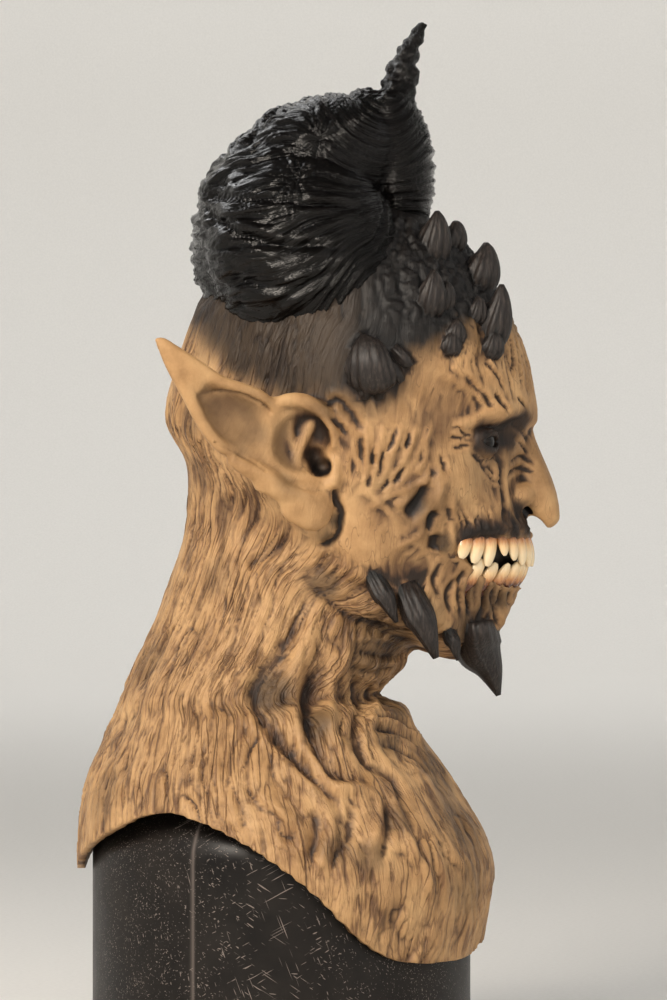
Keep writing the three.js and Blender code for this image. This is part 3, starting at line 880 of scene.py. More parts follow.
# Neck: the ropes and valleys that run from behind the jaw down over the shoulder
for path, width, rise in (
    ([(-22, 300), (-12, 273), (5, 248), (12, 237), (12, 224), (-3, 203), (-27, 180), (-36, 173)], 6, -5),
    ([(-32, 251), (-22, 237), (-18, 225), (-20, 207), (-27, 193), (-36, 185), (-49, 181)], 5.2, -5),
    ([(-46, 268), (-48, 240), (-50, 222), (-49, 207), (-54, 193), (-71, 181), (-76, 166), (-86, 142)],
     4.6, -4.5),
    ([(-22, 290), (-17, 266), (-11, 245), (-11, 217), (-25, 188), (-36, 176), (-49, 175), (-57, 160)],
     5.0, 5.5),
    ([(-46, 263), (-39, 249), (-32, 237), (-31, 220), (-36, 203), (-44, 192)], 4.6, 5.0),
    ([(-62, 250), (-58, 236), (-60, 224), (-57, 210)], 3.4, 3.0),
    ([(24, 240), (16, 218), (3, 200), (-14, 184), (-26, 173), (-33, 160), (-32, 146), (-26, 128)], 4, 3.4),
    ([(-49, 177), (-60, 170), (-62, 156), (-58, 136)], 4.0, 3.4),
    ([(-66, 181), (-74, 160), (-82, 142), (-92, 121), (-95, 101)], 4.5, 3.4),
    ([(10, 172), (-2, 164), (-11, 157), (-16, 147), (-15, 134)], 3.4, 2.4),
    ([(-22, 165), (-25, 150), (-20, 134)], 3.4, -3.2),
    ([(-44, 168), (-45, 150), (-34, 130)], 3.4, -3.2),
    ([(-66, 168), (-68, 150), (-64, 132)], 3.4, -3.2),
    ([(-20, 298), (-42, 276), (-62, 268), (-84, 262)], 3.0, -3.4),
    ([(-44, 262), (-62, 262), (-78, 256)], 2.4, 2.6),
    ([(-50, 254), (-66, 250), (-80, 250)], 2.4, -2.8),
    ([(-46, 244), (-60, 240), (-74, 243)], 2.4, -2.6),
    ([(-55, 219), (-66, 218), (-77, 213), (-84, 206)], 2.4, -3.4),
    ([(-58, 210), (-70, 208), (-82, 202), (-90, 194)], 2.4, -3.4),
    ([(-62, 201), (-74, 198), (-86, 191), (-95, 182)], 2.4, -3.0),
    ([(-60, 214.5), (-72, 213), (-83, 205), (-88, 200)], 2.2, 2.6),
    ([(-62, 205.5), (-75, 203), (-88, 195), (-94, 188)], 2.2, 2.6),
):
    skin.line(path, width, rise)

# Bark: ridged wrinkles along the flow, strongest on the neck, finer over the scalp and faint on
# the face. Each size of wrinkle is bent by a slow drift, so that the lines wander and join.
neck_end = (0.475, 0.535)
ear_back = (1.55, 2.1)
neck = 1 - smooth_step(place, *neck_end)
behind = smooth_step(np.abs(turn), *ear_back)
scalp = smooth_step(place, 0.8, 0.86)
flat_part = 1 - smooth_step(off, 3.0, 5.5)
bark_share = np.maximum(np.maximum(neck, 0.75 * behind), 0.9 * scalp)
drift = noise_shift(corners, 55, 1) * (12, 12, 2.5)
drift += noise_shift(corners, 15, 4) * (3.0, 3.0, 0.8)
patchy = smooth_step(noise(corners, 30, 21), -0.35, 0.4)
skin.height += bark_share * flat_part * 2.0 * noise(flow + drift, 17, 10)
for cell, rise, seed in ((12, 2.7, 11), (6.6, 1.8, 12), (3.6, 0.7, 13)):
    ridges = ridged(flow + drift, cell, seed, 3.4) ** 0.7
    skin.height += bark_share * (0.35 + 0.65 * patchy) * flat_part * rise * (ridges - 0.75)
for cell, rise, seed in ((6.0, 0.45, 14), (3.4, 0.25, 15)):
    ridges = ridged(flow + drift, cell, seed, 3.4)
    skin.height += (1 - bark_share) * (0.2 + 0.8 * patchy) * flat_part * rise * (ridges - 0.7)
gnarled = smooth_step(skin.side[:, 2], 440, 466) * smooth_step(-skin.side[:, 1], 48, 76) * flat_part
for cell, rise, seed in ((9.0, 2.2, 16), (4.5, 1.4, 17)):
    skin.height += gnarled * rise * (ridged(corners, cell, seed, 2.6) - 0.6)
deepest_press = 4.8
highest_rise = 7.2
skin.height = np.clip(skin.height, -deepest_press, highest_rise)

# Eyelids: the skin is drawn in over each eye, and stands up in a rim round the opening
eye_middle = np.array([-37, -117, 383.0])
eye_radius = 14
eye_axis = np.array([-0.45, -0.89, 0.02])
eye_axis /= np.linalg.norm(eye_axis)
lid_thickness = 2
lid_half_width = 10.5
lid_half_height = 5.4
corners = skin.shaped()
side = to_right(corners)
apart = side - eye_middle
reach = np.linalg.norm(apart, axis=1)
bend = np.arccos(np.clip(apart @ eye_axis / reach, -1, 1))
lid = (1 - smooth_step(bend, 0.75, 1.15)) * (1 - smooth_step(reach, 21, 26))
new_reach = reach + (eye_radius + lid_thickness - reach) * lid
across_eye = np.cross(eye_axis, (0, 0, 1.0))
sideways, upward = apart @ across_eye, apart[:, 2]
oval = np.sqrt((sideways / lid_half_width) ** 2 + (upward / lid_half_height) ** 2)
rim = np.exp(-(((oval - 1.08) / 0.2) ** 2)) * lid
lid_fold = np.exp(-(((oval - 1.75) / 0.16) ** 2)) * lid
new_reach = new_reach + 1.2 * rim - 0.8 * lid_fold
bags = oval + 0.3 * noise(side, 7, 22)
for bag_fold in (2.35, 2.95, 3.6):
    new_reach -= 1.1 * np.exp(-(((bags - bag_fold) / 0.15) ** 2)) * lid * (upward < 0)
side = eye_middle + apart * (new_reach / reach)[:, None]
corners = np.column_stack([np.where(corners[:, 0] > 0, -side[:, 0], side[:, 0]), side[:, 1:]])
write_corners(body, corners)
plain_skin_triangles = 178000
thin_out(body, plain_skin_triangles)

# Horns: ribbed claws of solid silicone, cast in one with the skin. There are knobs on the scalp, a
# cluster at each temple, three spikes along each side of the jaw and a hooked one on the chin.


def skin_out(y, z):
    """The outward direction of the plain form's right side at a side-view point."""
    index = side_map.find((0, y, z))[1]
    row = min(max(index // map_columns, 1), map_rows - 2)
    column = min(max(index % map_columns, 1), map_columns - 2)
    grid = map_points.reshape(map_rows, map_columns, 3)
    around = grid[row, column + 1] - grid[row, column - 1]
    out = np.cross(around, grid[row + 1, column] - grid[row - 1, column])
    out /= np.linalg.norm(out)
    return out if out[0] < 0 else -out


horns = [
    # y, z, length, base radius
    (-94, 503, 24, 8.6),
    (-107, 508, 14, 7.2),
    (-124, 486, 23, 9.4),
    (-92, 468, 21, 8),
    (-101, 469, 13, 5.4),
    (-132, 453, 30, 8.6),
    (-121, 461, 12, 5.6),
    (-108, 448, 10, 6),
    (-131, 441, 12, 6.5),
    (-104, 440, 9, 6),
]
horn_shape = np.array([1.05, 1.25, 1.1, 0.82, 0.5, 0.16])
horn_bend = [(-0.3, 0), (0.2, 1.5), (0.6, 1.2), (1, -2)]
horn_sunk = 3
claws = []
for y, z, long, base in horns:
    out = skin_out(y, z)
    root = on_skin(y, z) - out * horn_sunk
    rise = np.array([0, 0, 1.0]) + out * 0.4
    rise /= np.linalg.norm(rise)
    path = [root + rise * (long * share) + out * lift for share, lift in horn_bend]
    claws.append(tube(
        "horn", path, horn_shape * base,
        sides=60, steps=18, ribs=11, rib_depth=0.085, across=(0.3, 1, 0.2),
    ))
temple = [(-57, 415, -2), (-56, 420, 2), (-54, 429, 5), (-52, 438, 3), (-50, 446, -2)]
path = [on_skin(y, z) + skin_out(y, z) * out for y, z, out in temple]
paw_widths = [9, 14.5, 14, 10, 3]
paw_depths = [6, 8, 8, 6, 2.5]
claws.append(tube(
    "temple_paw", path, paw_widths, paw_depths,
    sides=108, steps=24, ribs=15, rib_depth=0.07, across=(0.2, 1, 0),
))
stubs = [(-52, 414, 0.1, 10), (-59, 414, -0.2, 11), (-70, 424, -0.7, 11), (-74, 433, -1, 8)]
for y, z, lean, long in stubs:
    root = on_skin(y, z) - skin_out(y, z) * 0.5
    down = np.array([-0.1, lean, -1])
    path = [root - down * 6, root, root + down * long * 0.6]
    claws.append(tube(
        "temple_stub", path, [4, 4.6, 2.4],
        sides=30, steps=12, ribs=7, rib_depth=0.09, across=(0.3, 1, 0),
    ))
spike_shape = np.array([0.75, 1, 0.85, 0.2])
for root, tip, base in (
    ((-57, 300), (-71, 273), 6.4), ((-79, 290), (-95, 251), 9.4), ((-103, 267), (-108.5, 249), 4.6),
):
    start = on_skin(*root) - skin_out(*root) * 2
    end = np.array([start[0] - 4, *tip])
    middle = (start + end) / 2 + np.array([-3, -1, 0])
    path = [start + (start - end) * 0.12, start * 0.7 + end * 0.3 + (-2, 0, 0), middle, end]
    claws.append(tube(
        "jaw_spike", path, spike_shape * base,
        sides=54, steps=16, ribs=11, rib_depth=0.08, across=(1, 0.2, 0),
    ))
chin_path = [(0, -120, 272), (0, -121, 264), (0, -122.5, 254), (0, -129, 242), (0, -134.5, 226)]
chin_widths = [34, 34, 25, 12, 1.6]
chin_depths = [12.5, 14, 14.5, 8.5, 1.6]
chin_claw = tube(
    "chin_claw", chin_path, chin_widths, chin_depths, sides=96, steps=26, ribs=17, rib_depth=0.018
)
parts = [part for claw in claws for part in (mirror_copy(claw), claw)] + [chin_claw]
horn_group = parts[0]
for part in parts[1:]:
    combine(horn_group, part, "UNION")

skin_paint, skin_tree = new_material("painted silicone")
horn_paint, horn_tree = new_material("charcoal painted silicone claws")
lining_paint, lining_tree = new_material("bare silicone lining")
body.data.materials.clear()
body.data.materials.append(skin_paint)
horn_group.data.materials.clear()
horn_group.data.materials.append(horn_paint)
combine(body, horn_group, "UNION")

# Openings: the casting is hollow and open below, with a mouth, two eye seats and two nostrils. The
# lining is the plain form again, set in by the wall.

lining = skin_loft("lining", 170, 128, wall)
outside_map = KDTree(len(body.data.vertices))
for index, corner in enumerate(read_corners(body)):
    outside_map.insert(corner, index)
outside_map.balance()

# Where the outside is pressed in, the lining is pushed back, so that enough silicone is left
thinnest = 3.4
for _ in range(2):
    inner = read_corners(lining)
    gaps = np.array([outside_map.find(corner)[2] for corner in inner])
    write_corners(lining, inner - read_normals(lining) * np.maximum(thinnest - gaps, 0)[:, None])

# The eyes and the ears' deepest bowls keep a thicker backing
x, y, z = ear_points([(-22, 367, -3)])[0]
for side in (-1, 1):
    combine(lining, egg("eye_backing", eye_middle * (-side, 1, 1), (20, 20, 20)), "DIFFERENCE")
    combine(lining, egg("ear_backing", (x * -side, y, z), (20, 14, 13)), "DIFFERENCE")


def side_slot(name, outline, reach):
    """A closed block with an outline in the side view, running across the mask."""
    count = len(outline)
    corners = [(x, y, z) for x in (-reach, reach) for y, z in outline]
    faces = [tuple(range(count)), tuple(range(2 * count - 1, count - 1, -1))]
    faces += [(i, i + count, (i + 1) % count + count, (i + 1) % count) for i in range(count)]
    return mesh_piece(name, corners, faces)


# Mouth: a slot between the lips that ends in a shallow pocket, closed by a wall behind the teeth
lip_places = np.linspace(0, 1, 20)
lip_upper = smooth_run([(-185, 324), (-160, 325), (-138, 326), (-120, 325), (-112, 317)], lip_places)
lip_lower = smooth_run([(-112, 312), (-119, 304), (-128, 298), (-142, 293), (-185, 293)], lip_places)
pocket_depth = 7
mouth_wall = 4
mouth_block = [(-190, 338), (-100, 338), (-94, 312), (-102, 280), (-190, 276)]
around_mouth = side_slot("mouth_wall", mouth_block, 80)
combine(around_mouth, skin_loft("wall_back", 70, 48, pocket_depth + mouth_wall), "DIFFERENCE")
combine(lining, around_mouth, "DIFFERENCE")
lining.data.materials.clear()
lining.data.materials.append(lining_paint)
combine(body, lining, "DIFFERENCE")
# The pocket behind the lips takes near black paint, partly real mouth paint and partly painted shade inside
# the pocket
mouth_paint_and_shade, mouth_tree = new_material("near black mouth paint and painted shade")
mouth_slot = side_slot("mouth_slot", [*lip_upper, *lip_lower], 75)
wall_front = skin_loft("wall_front", 70, 48, pocket_depth)
for part in (mouth_slot, wall_front):
    part.data.materials.append(mouth_paint_and_shade)
combine(mouth_slot, wall_front, "DIFFERENCE")
combine(body, mouth_slot, "DIFFERENCE")

# Lips: the skin is rolled in over the edge of the mouth, in lumpy wrinkles
jaw_middle = -40
face_steps = 200
last_section = len(skin_sections) - 1
face_places = np.linspace(8 / last_section, 14 / last_section, face_steps)


def face_point(turn, level, inset):
    """The point of the face at a turn and a height near the mouth, moved in by a distance.

    In is towards the upright line at jaw_middle.
    """
    points = skin_point(face_places, np.full(face_steps, turn))
    point = points[np.abs(points[:, 2] - level).argmin()]
    reach = math.hypot(point[0], point[1] - jaw_middle)
    shrink = 1 - inset / reach
    return np.array([point[0] * shrink, jaw_middle + (point[1] - jaw_middle) * shrink, level])


mouth_corner = -112.5
mouth_reach = 0.93
mouth_level = 310
for outline, radius, seed in ((lip_upper, 2.8, 81), (lip_lower[::-1], 2.4, 82)):
    path = []
    for turn in np.linspace(-mouth_reach, mouth_reach, 70):
        level = mouth_level
        for _ in range(3):
            y = min(face_point(turn, level, 0)[1], mouth_corner)
            level = np.interp(y, outline[:, 0], outline[:, 1])
        path.append(face_point(turn, level, 2))
    lumps = 1 + 0.3 * noise(np.array(path), 3.4, seed)
    roll = tube("lip_roll", path, radius * lumps, None, 12, 140)
    roll.data.materials.append(skin_paint)
    combine(body, roll, "UNION")

# Eyes and nostrils: an almond opening and a round seat for each eye, with a rolled lid round it. The
# cut walls of the openings, the seats and the nostrils take the near black paint as painted shade.
opening_half_width = 10.2
opening_half_height = 4.6
lid_standoff = 1.2
lid_turns = np.linspace(0, 2 * math.pi, 41)
sideways = opening_half_width * np.cos(lid_turns)
upward = opening_half_height * np.sin(lid_turns)
outward = np.sqrt((eye_radius + lid_standoff) ** 2 - sideways**2 - upward**2)
for side in (-1, 1):
    middle = eye_middle * (-side, 1, 1)
    towards = eye_axis * (-side, 1, 1)
    hole = egg("eye_opening", (0, 0, 0), (9.5, 16, 4.4), 0, 40)
    turned = math.atan2(towards[0], -towards[1])
    flat = np.array([
        (math.cos(turned), -math.sin(turned), 0),
        (math.sin(turned), math.cos(turned), 0),
        (0, 0, 1),
    ])
    write_corners(hole, read_corners(hole) @ flat.T + middle + towards * eye_radius)
    eye_seat = egg("eye_seat", middle, (eye_radius + 0.4,) * 3, 0, 48)
    across = np.cross(towards, (0, 0, 1.0))
    across /= np.linalg.norm(across)
    up = np.cross(across, towards)
    path = middle + sideways[:, None] * across + upward[:, None] * up + outward[:, None] * towards
    lid_roll = tube("lid_roll", path, 1.3 + 0.6 * np.sin(lid_turns), None, 12, 80)
    nostril = egg("nostril", (side * 9.5, -151.5, 339), (4.6, 8.2, 4), 0.85)
    for part, finish, operation in (
        (hole, mouth_paint_and_shade, "DIFFERENCE"),
        (lid_roll, skin_paint, "UNION"),
        (eye_seat, mouth_paint_and_shade, "DIFFERENCE"),
        (nostril, mouth_paint_and_shade, "DIFFERENCE"),
    ):
        part.data.materials.append(finish)
        combine(body, part, operation)

# Hem: trimmed low over the chest, high behind the shoulder, in a slightly wavy cut
hem_heights = [119, 141, 160, 131, 76, 68, 76]
hem_sides = 96
cutter_foot = 8
cutter_reach = 190
cutter_waist = 76
cutter_top = 110
hem_turns = np.arange(hem_sides) * 2 * math.pi / hem_sides
from_back = np.abs(np.angle(np.exp(1j * hem_turns))) / math.pi
hem_ring = np.stack([60 * np.cos(hem_turns), 60 * np.sin(hem_turns), 0 * hem_turns], 1)
hem = smooth_run(hem_heights, from_back) + noise(hem_ring, 9, 5) * 1.2
directions = np.stack([np.sin(hem_turns), np.cos(hem_turns)], 1)
rings = [(0, 0, cutter_foot)]
for reach, level in (
    (cutter_reach, np.full(hem_sides, cutter_foot)), (cutter_reach, hem), (cutter_waist, hem),
):
    rings.append(np.column_stack([directions * reach, level])[::-1])
rings.append((0, 0, cutter_top))
cutter = mesh_piece("hem_cutter", np.vstack(rings), ring_faces(3, hem_sides))
combine(body, cutter, "DIFFERENCE")
skin_triangles = 194000
thin_out(body, skin_triangles)

# The cut edge of the hem shows bare silicone
for number, finish in enumerate(body.data.materials):
    if finish is None:
        body.data.materials[number] = lining_paint

# Skin paint: tan silicone, sponged with brown, with a dark wash in every hollow that is partly real
# paint and partly painted shade, painted shade in the broad valleys, and a charcoal coat over the
# scalp and round the horns, which also holds painted shade in the slits and under the jaw. How
# hollow a corner lies is its depth under the same skin evened out, a little for fine folds and a lot
# for broad valleys.

corners, edges = read_corners(body), read_edges(body)
normals = read_normals(body)
place, turn, off, flow = find_flow(corners)
fine, broad, broadest = [
    np.sum((relax(corners, edges, rounds) - corners) * normals, 1) for rounds in (3, 24, 90)
]
neck = 1 - smooth_step(place, *neck_end)
behind = smooth_step(np.abs(turn), *ear_back)
face_part = 1 - np.maximum(neck, behind)
hollow = np.clip(fine / 0.5, -1, 1) * 0.4 + np.clip(broad / 2.6, -1, 1) * 0.6
hollow *= 1 + 0.45 * face_part * (hollow > 0)
# Painted shade: the broad valleys, found by evening the skin out a lot, are darkened as shade would fall
# there
valley = np.clip(broadest / 5, 0, 1)
painted = Relief(body)
side = painted.side
drifting = noise(corners, 14, 31) * 7 + noise(corners, 6, 32) * 4


def spread(values, spots, soft=0.5):
    """The values, raised by soft painted spots: a side-view y and z, a radius and a strength each."""
    for y, z, radius, strength in spots:
        gap = np.linalg.norm(side - painted.lift(y, z), axis=1) + drifting * 0.4
        spot = 1 - smooth_step(gap, radius * (1 - soft), radius * (1 + soft))
        values = np.maximum(values, strength * spot)
    return values


# The charcoal coat over the scalp and the crest and round the horns and temples. The spots in the
# slits and pits, in the ear's canal, beside the ear lobe, under the jaw, on the throat and in the
# neck's valleys are painted shade.
scalp_line = np.interp(
    side[:, 1],
    [-160, -140, -118, -90, -60, -30, 0, 30, 60],
    [462, 453, 442, 430, 404, 396, 398, 415, 450],
)
charcoal = smooth_step(side[:, 2] + drifting - scalp_line, -10, 22)
charcoal *= 0.93 + 0.07 * smooth_step(-side[:, 1], 30, 60)
crest = smooth_step(side[:, 2] + drifting, 446, 468) * smooth_step(-side[:, 1] + drifting, 55, 85)
charcoal = spread(np.maximum(charcoal, crest), [
    (-56, 428, 27, 1), (-63, 412, 13, 0.9), (-24.5, 367, 7.5, 1), (-118, 289, 10, 0.4),
    (-129, 284, 9, 0.45), (-138, 283, 6, 0.5), (-84, 345, 8, 0.75), (-88, 336, 13, 0.3),
    (-112, 150, 24, 0.45), (-98, 182, 20, 0.45), (-118, 112, 18, 0.4), (-118, 266, 15, 0.85),
    (-36, 335, 5, 0.8), (-31, 323, 5, 0.7), (-64, 292, 8, 0.5), (-84, 282, 10, 0.5),
    (-10, 359, 5, 0.5), (-62, 258, 24, 0.6), (-70, 222, 13, 0.6), (-68, 200, 12, 0.5),
    (4, 232, 14, 0.7), (-22, 214, 11, 0.7), (-36, 142, 10, 0.45), (-57, 136, 10, 0.5),
    (-70, 156, 9, 0.45), (-26, 297, 9, 0.6), (56, 398, 14, 0.35), (40, 300, 12, 0.25),
    (84, 250, 16, 0.3), (110, 170, 18, 0.3), (-97, 321, 6.5, 0.8), (-92, 336, 5, 0.7),
])

# The ear is clean but for painted shade in its bowls
ear_part = smooth_step(off, 6, 10) * (side[:, 1] > -40) * (side[:, 2] > 325) * (side[:, 2] < 450)
ear_shade = spread(np.zeros(len(corners)), [
    (-24, 368, 9, 1), (-2, 384, 12, 0.35), (-28, 382, 12, 0.7), (-24, 394, 12, 0.5),
    (-14, 392, 12, 0.35), (-14, 372, 9, 0.5), (38, 404, 10, 0.35), (34, 393, 10, 0.4),
    (24, 384, 10, 0.35), (18, 402, 11, 0.4), (10, 388, 10, 0.25), (-8, 358, 7, 0.45),
], 1)
charcoal = charcoal * (1 - ear_part) + ear_shade * ear_part

# Near black round the eyes, up under the brow to the root of the nose, is painted shade of the sunken
# sockets; under the nose and along the upper lip it is a dark painted moustache
eye_gap = np.linalg.norm(side - eye_middle, axis=1)
near_black_and_shade = 0.9 * (1 - smooth_step(eye_gap + drifting * 0.3, 16, 23)) * smooth_step(-side[:, 1], 115, 121)
near_black_and_shade *= smooth_step(side[:, 2] + drifting * 0.3, 370, 380)
near_black_and_shade = spread(near_black_and_shade, [
    (-148, 394, 8, 0.8), (-138, 391, 9, 1), (-148, 341, 6, 0.9), (-153, 334, 8, 0.9),
    (-146, 329, 7, 1), (-136, 328, 7.5, 1), (-126, 327, 7.5, 1), (-117, 325, 6.5, 0.9),
    (-111, 320, 5, 0.7), (-141, 336, 7, 0.8), (-128, 388, 7, 1), (-120, 381, 5, 0.8),
    (-142, 386, 7, 0.9),
], 0.7)
near_black_and_shade = np.clip(near_black_and_shade * (1.05 + 0.5 * noise(flow * (1, 1, 2.5), 4, 34)), 0, 1)

# Soft dark blotches over the cheek, the eye bags, the nose and the chin are added to the painted shade
# of the valleys
dark_blotches = spread(np.zeros(len(corners)), [
    (-84, 352, 26, 0.26), (-64, 352, 18, 0.2), (-108, 342, 15, 0.2), (-152, 362, 17, 0.2),
    (-142, 374, 14, 0.4), (-124, 368, 15, 0.35), (-134, 350, 14, 0.3), (-104, 306, 17, 0.3),
    (-126, 286, 17, 0.5), (-74, 322, 18, 0.15), (-128, 371, 10, 0.5), (-120, 300, 13, 0.4),
    (-100, 288, 12, 0.35), (-104, 402, 14, 0.14), (-88, 424, 14, 0.2),
], 0.9)
dark_blotches *= 1 + 0.5 * noise(corners, 9, 35)
# The near black and the dark blotches join the painted shade of the valleys and the hollows, and the near
# black the coat
valley = np.maximum(np.maximum(valley, dark_blotches), near_black_and_shade * 0.9)
hollow = np.maximum(hollow, near_black_and_shade * 0.95)
charcoal = np.maximum(charcoal, near_black_and_shade * 0.68)

write_values(body, "hollow", hollow * (1 - 0.75 * ear_part))
write_values(body, "valley", valley * (1 - 0.4 * ear_part))
write_values(body, "charcoal", charcoal)
write_values(body, "flow", flow * mm)
patchy = smooth_step(noise(corners, 26, 33), -0.3, 0.3)
write_values(body, "scores", 0.5 * face_part * (1 - ear_part) * patchy)
write_values(body, "streaks", np.maximum(0.06, np.maximum(neck, behind)) * (1 - ear_part))
shade_smooth(body)

# Painted silicone: dark lines of three sizes run along the flow over a sponged tan, then come short
# scores on the face, the painted shade of the valleys, a brown and a near black wash in the hollows
# that is partly painted shade, and the charcoal coat with its painted shade, which is itself darker
# in hollows than on ridges. It is satin, so its highlights are broad and weak, as on rubber.
silicone_ior = 1.41
tree = skin_tree
places = add_node(tree, "TexCoord", out="Object")
flowing = add_node(tree, "Attribute", {"attribute_name": "flow"}, out="Vector")
hollows, valley_shade_shares, coat_and_shade_shares, streak_share, score_share = [
    add_node(tree, "Attribute", {"attribute_name": name}, out="Fac")
    for name in ("hollow", "valley", "charcoal", "streaks", "scores")
]
sponge = add_node(
    tree, "TexNoise", {}, {"Vector": places, "Scale": 1 / (26 * mm), "Detail": 6, "Roughness": 0.62}
)
toned = add_node(
    tree, "ValToRGB", {"stops": [(0.3, "#947049"), (0.5, "#b38c60"), (0.7, "#c7a071")]}, {"Fac": sponge}
)
grain = add_node(
    tree, "TexNoise", {},
    {"Vector": flowing, "Scale": 1 / (2.4 * mm), "Detail": 4, "Roughness": 0.6, "Distortion": 0.5},
)
grooves = 0
for size, strength, dark in ((10, 0.8, "#4a3224"), (5.2, 0.7, "#63432f"), (2.6, 0.25, "#7d5a3f")):
    lines = add_node(
        tree, "TexNoise", {},
        {"Vector": flowing, "Scale": 1 / (size * mm), "Detail": 2, "Roughness": 0.45, "Distortion": 0.25},
    )
    thin = add_node(
        tree, "ValToRGB",
        {"stops": [(0.46, "#000000"), (0.5, "#ffffff"), (0.54, "#000000")]},
        {"Fac": lines},
    )
    broken = add_node(
        tree, "MapRange", {},
        {"Value": sponge, "From Min": 0.6, "From Max": 0.44, "To Min": 0.15, "To Max": strength},
    )
    share = add_node(tree, "Math", {"operation": "MULTIPLY"}, {0: thin, 1: broken})
    share = add_node(tree, "Math", {"operation": "MULTIPLY"}, {0: share, 1: streak_share})
    toned = add_node(tree, "Mix", {"data_type": "RGBA"}, {"Factor": share, "A": toned, "B": paint(dark)})
    grooves = add_node(tree, "Math", {"operation": "ADD"}, {0: grooves, 1: share})
slanted = add_node(tree, "Mapping", {}, {"Vector": places, "Rotation": (0.6, 0, 0), "Scale": (1, 1, 0.2)})
scored = add_node(
    tree, "TexNoise", {},
    {"Vector": slanted, "Scale": 1 / (7 * mm), "Detail": 2, "Roughness": 0.5, "Distortion": 0.1},
)
thin = add_node(
    tree, "ValToRGB", {"stops": [(0.485, "#000000"), (0.5, "#ffffff"), (0.515, "#000000")]}, {"Fac": scored}
)
scores = add_node(tree, "Math", {"operation": "MULTIPLY"}, {0: thin, 1: score_share})
smudge = add_node(tree, "Math", {"operation": "MULTIPLY_ADD"}, {0: grain, 1: 0.5, 2: -0.25})
hollows = add_node(tree, "Math", {"operation": "ADD"}, {0: hollows, 1: smudge})
# The wash and the deep wash darken the hollows, partly as real paint and partly as painted shade; the
# coat's tone is darker in hollows too
hollow_wash_and_shade, deep, coat_shade_tone = [
    add_node(tree, "MapRange", {}, {"Value": hollows, "From Min": low, "From Max": high, "To Max": most})
    for low, high, most in ((0.02, 0.7, 0.8), (0.45, 1, 0.9), (-0.6, 0.5, 1))
]
coat = add_node(
    tree, "ValToRGB", {"stops": [(0, "#2a221e"), (0.45, "#14100e"), (1, "#070505")]}, {"Fac": coat_shade_tone}
)
for share, colour in (
    (scores, paint("#4a3323")),
    (valley_shade_shares, paint("#33261d")),
    (hollow_wash_and_shade, paint("#553a28")),
    (deep, paint("#1f1712")),
    (coat_and_shade_shares, coat),
):
    toned = add_node(tree, "Mix", {"data_type": "RGBA"}, {"Factor": share, "A": toned, "B": colour})
pressed = add_node(tree, "Math", {"operation": "MULTIPLY_ADD"}, {0: grooves, 1: -1.6, 2: grain})
fine_bump = add_node(tree, "Bump", {}, {"Strength": 0.9, "Distance": 0.7 * mm, "Height": pressed})
finish_material(tree, {"Base Color": toned, "Roughness": 0.55, "IOR": silicone_ior, "Normal": fine_bump})

# Painted claws: fibres run up each one under the charcoal, the ribs are worn a little paler, and the
# hollows between them are darker as painted shade
tree = horn_tree
places = add_node(tree, "TexCoord", out="Object")
hollows = add_node(tree, "Attribute", {"attribute_name": "hollow"}, out="Fac")
stretched = add_node(tree, "Mapping", {}, {"Vector": places, "Scale": (1, 1, 0.16)})
fibres = add_node(
    tree, "TexNoise", {}, {"Vector": stretched, "Scale": 1 / (1.5 * mm), "Detail": 4, "Roughness": 0.6}
)
worn_ribs_and_shade = add_node(tree, "Math", {"operation": "MULTIPLY_ADD"}, {0: hollows, 1: 0.45, 2: fibres})
horn_colour = add_node(
    tree, "ValToRGB", {"stops": [(0.25, "#463d38"), (0.5, "#241f1d"), (0.8, "#0c0a09")]}, {"Fac": worn_ribs_and_shade}
)
fibre_bump = add_node(tree, "Bump", {}, {"Strength": 0.7, "Distance": 0.6 * mm, "Height": fibres})
finish_material(
    tree, {"Base Color": horn_colour, "Roughness": 0.46, "IOR": silicone_ior, "Normal": fibre_bump}
)

# Bare lining and mouth paint: both are cloudy with small dimples, the lining dry and brown, the
# mouth moist and near black. The near black is partly painted shade inside the mouth, the eye
# openings and the nostrils.
for tree, dark, light, roughness in (
    (lining_tree, "#705438", "#9a7a56", 0.6), (mouth_tree, "#0a0706", "#1d1310", 0.3),
):
    places = add_node(tree, "TexCoord", out="Object")
    cloud = add_node(
        tree, "TexNoise", {}, {"Vector": places, "Scale": 1 / (9 * mm), "Detail": 5, "Roughness": 0.6}
    )
    tones = add_node(tree, "ValToRGB", {"stops": [(0.35, dark), (0.65, light)]}, {"Fac": cloud})
    dimpled = add_node(tree, "Bump", {}, {"Strength": 0.5, "Distance": 0.5 * mm, "Height": cloud})
    finish_material(
        tree, {"Base Color": tones, "Roughness": roughness, "IOR": silicone_ior, "Normal": dimpled}
    )

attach(body, "root")
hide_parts("mask_skin")

# Teeth: each row is one cast dental piece of hard glossy resin, crooked pegs set in a dark gum. The
# ivory is stained orange brown towards the roots, which makes the teeth look old.

tooth_rows = {
    # turn from the middle of the face, half width and length of the teeth of one half row
    "upper_teeth": {
        "gum": 328, "inset": 6, "tip_inset": -3, "lean": -1, "reach": 0.84, "slant": 4.5,
        "teeth": [
            (0.06, 4.5, 22), (0.18, 4.9, 22), (0.305, 5.0, 21), (0.425, 4.5, 18), (0.53, 4.0, 15),
            (0.61, 5.0, 21.5), (0.7, 5.2, 19.5), (0.785, 5.0, 16.5),
        ],
    },
    "lower_teeth": {
        "gum": 292, "inset": 6, "tip_inset": 0.5, "lean": 1, "reach": 0.68, "slant": 0,
        "teeth": [
            (0.06, 4.4, 17), (0.18, 4.9, 17.5), (0.305, 5.0, 17), (0.425, 4.5, 16), (0.54, 5.0, 16.5),
            (0.65, 5.2, 19),
        ],
    },
}
tooth_widths = np.array([0.82, 0.95, 1.02, 1.0, 0.96, 0.88, 0.7, 0.3])
tooth_depths = np.array([0.7, 0.8, 0.8, 0.75, 0.68, 0.58, 0.42, 0.16])
collar_widths = np.array([1.0, 1.12, 0.9])
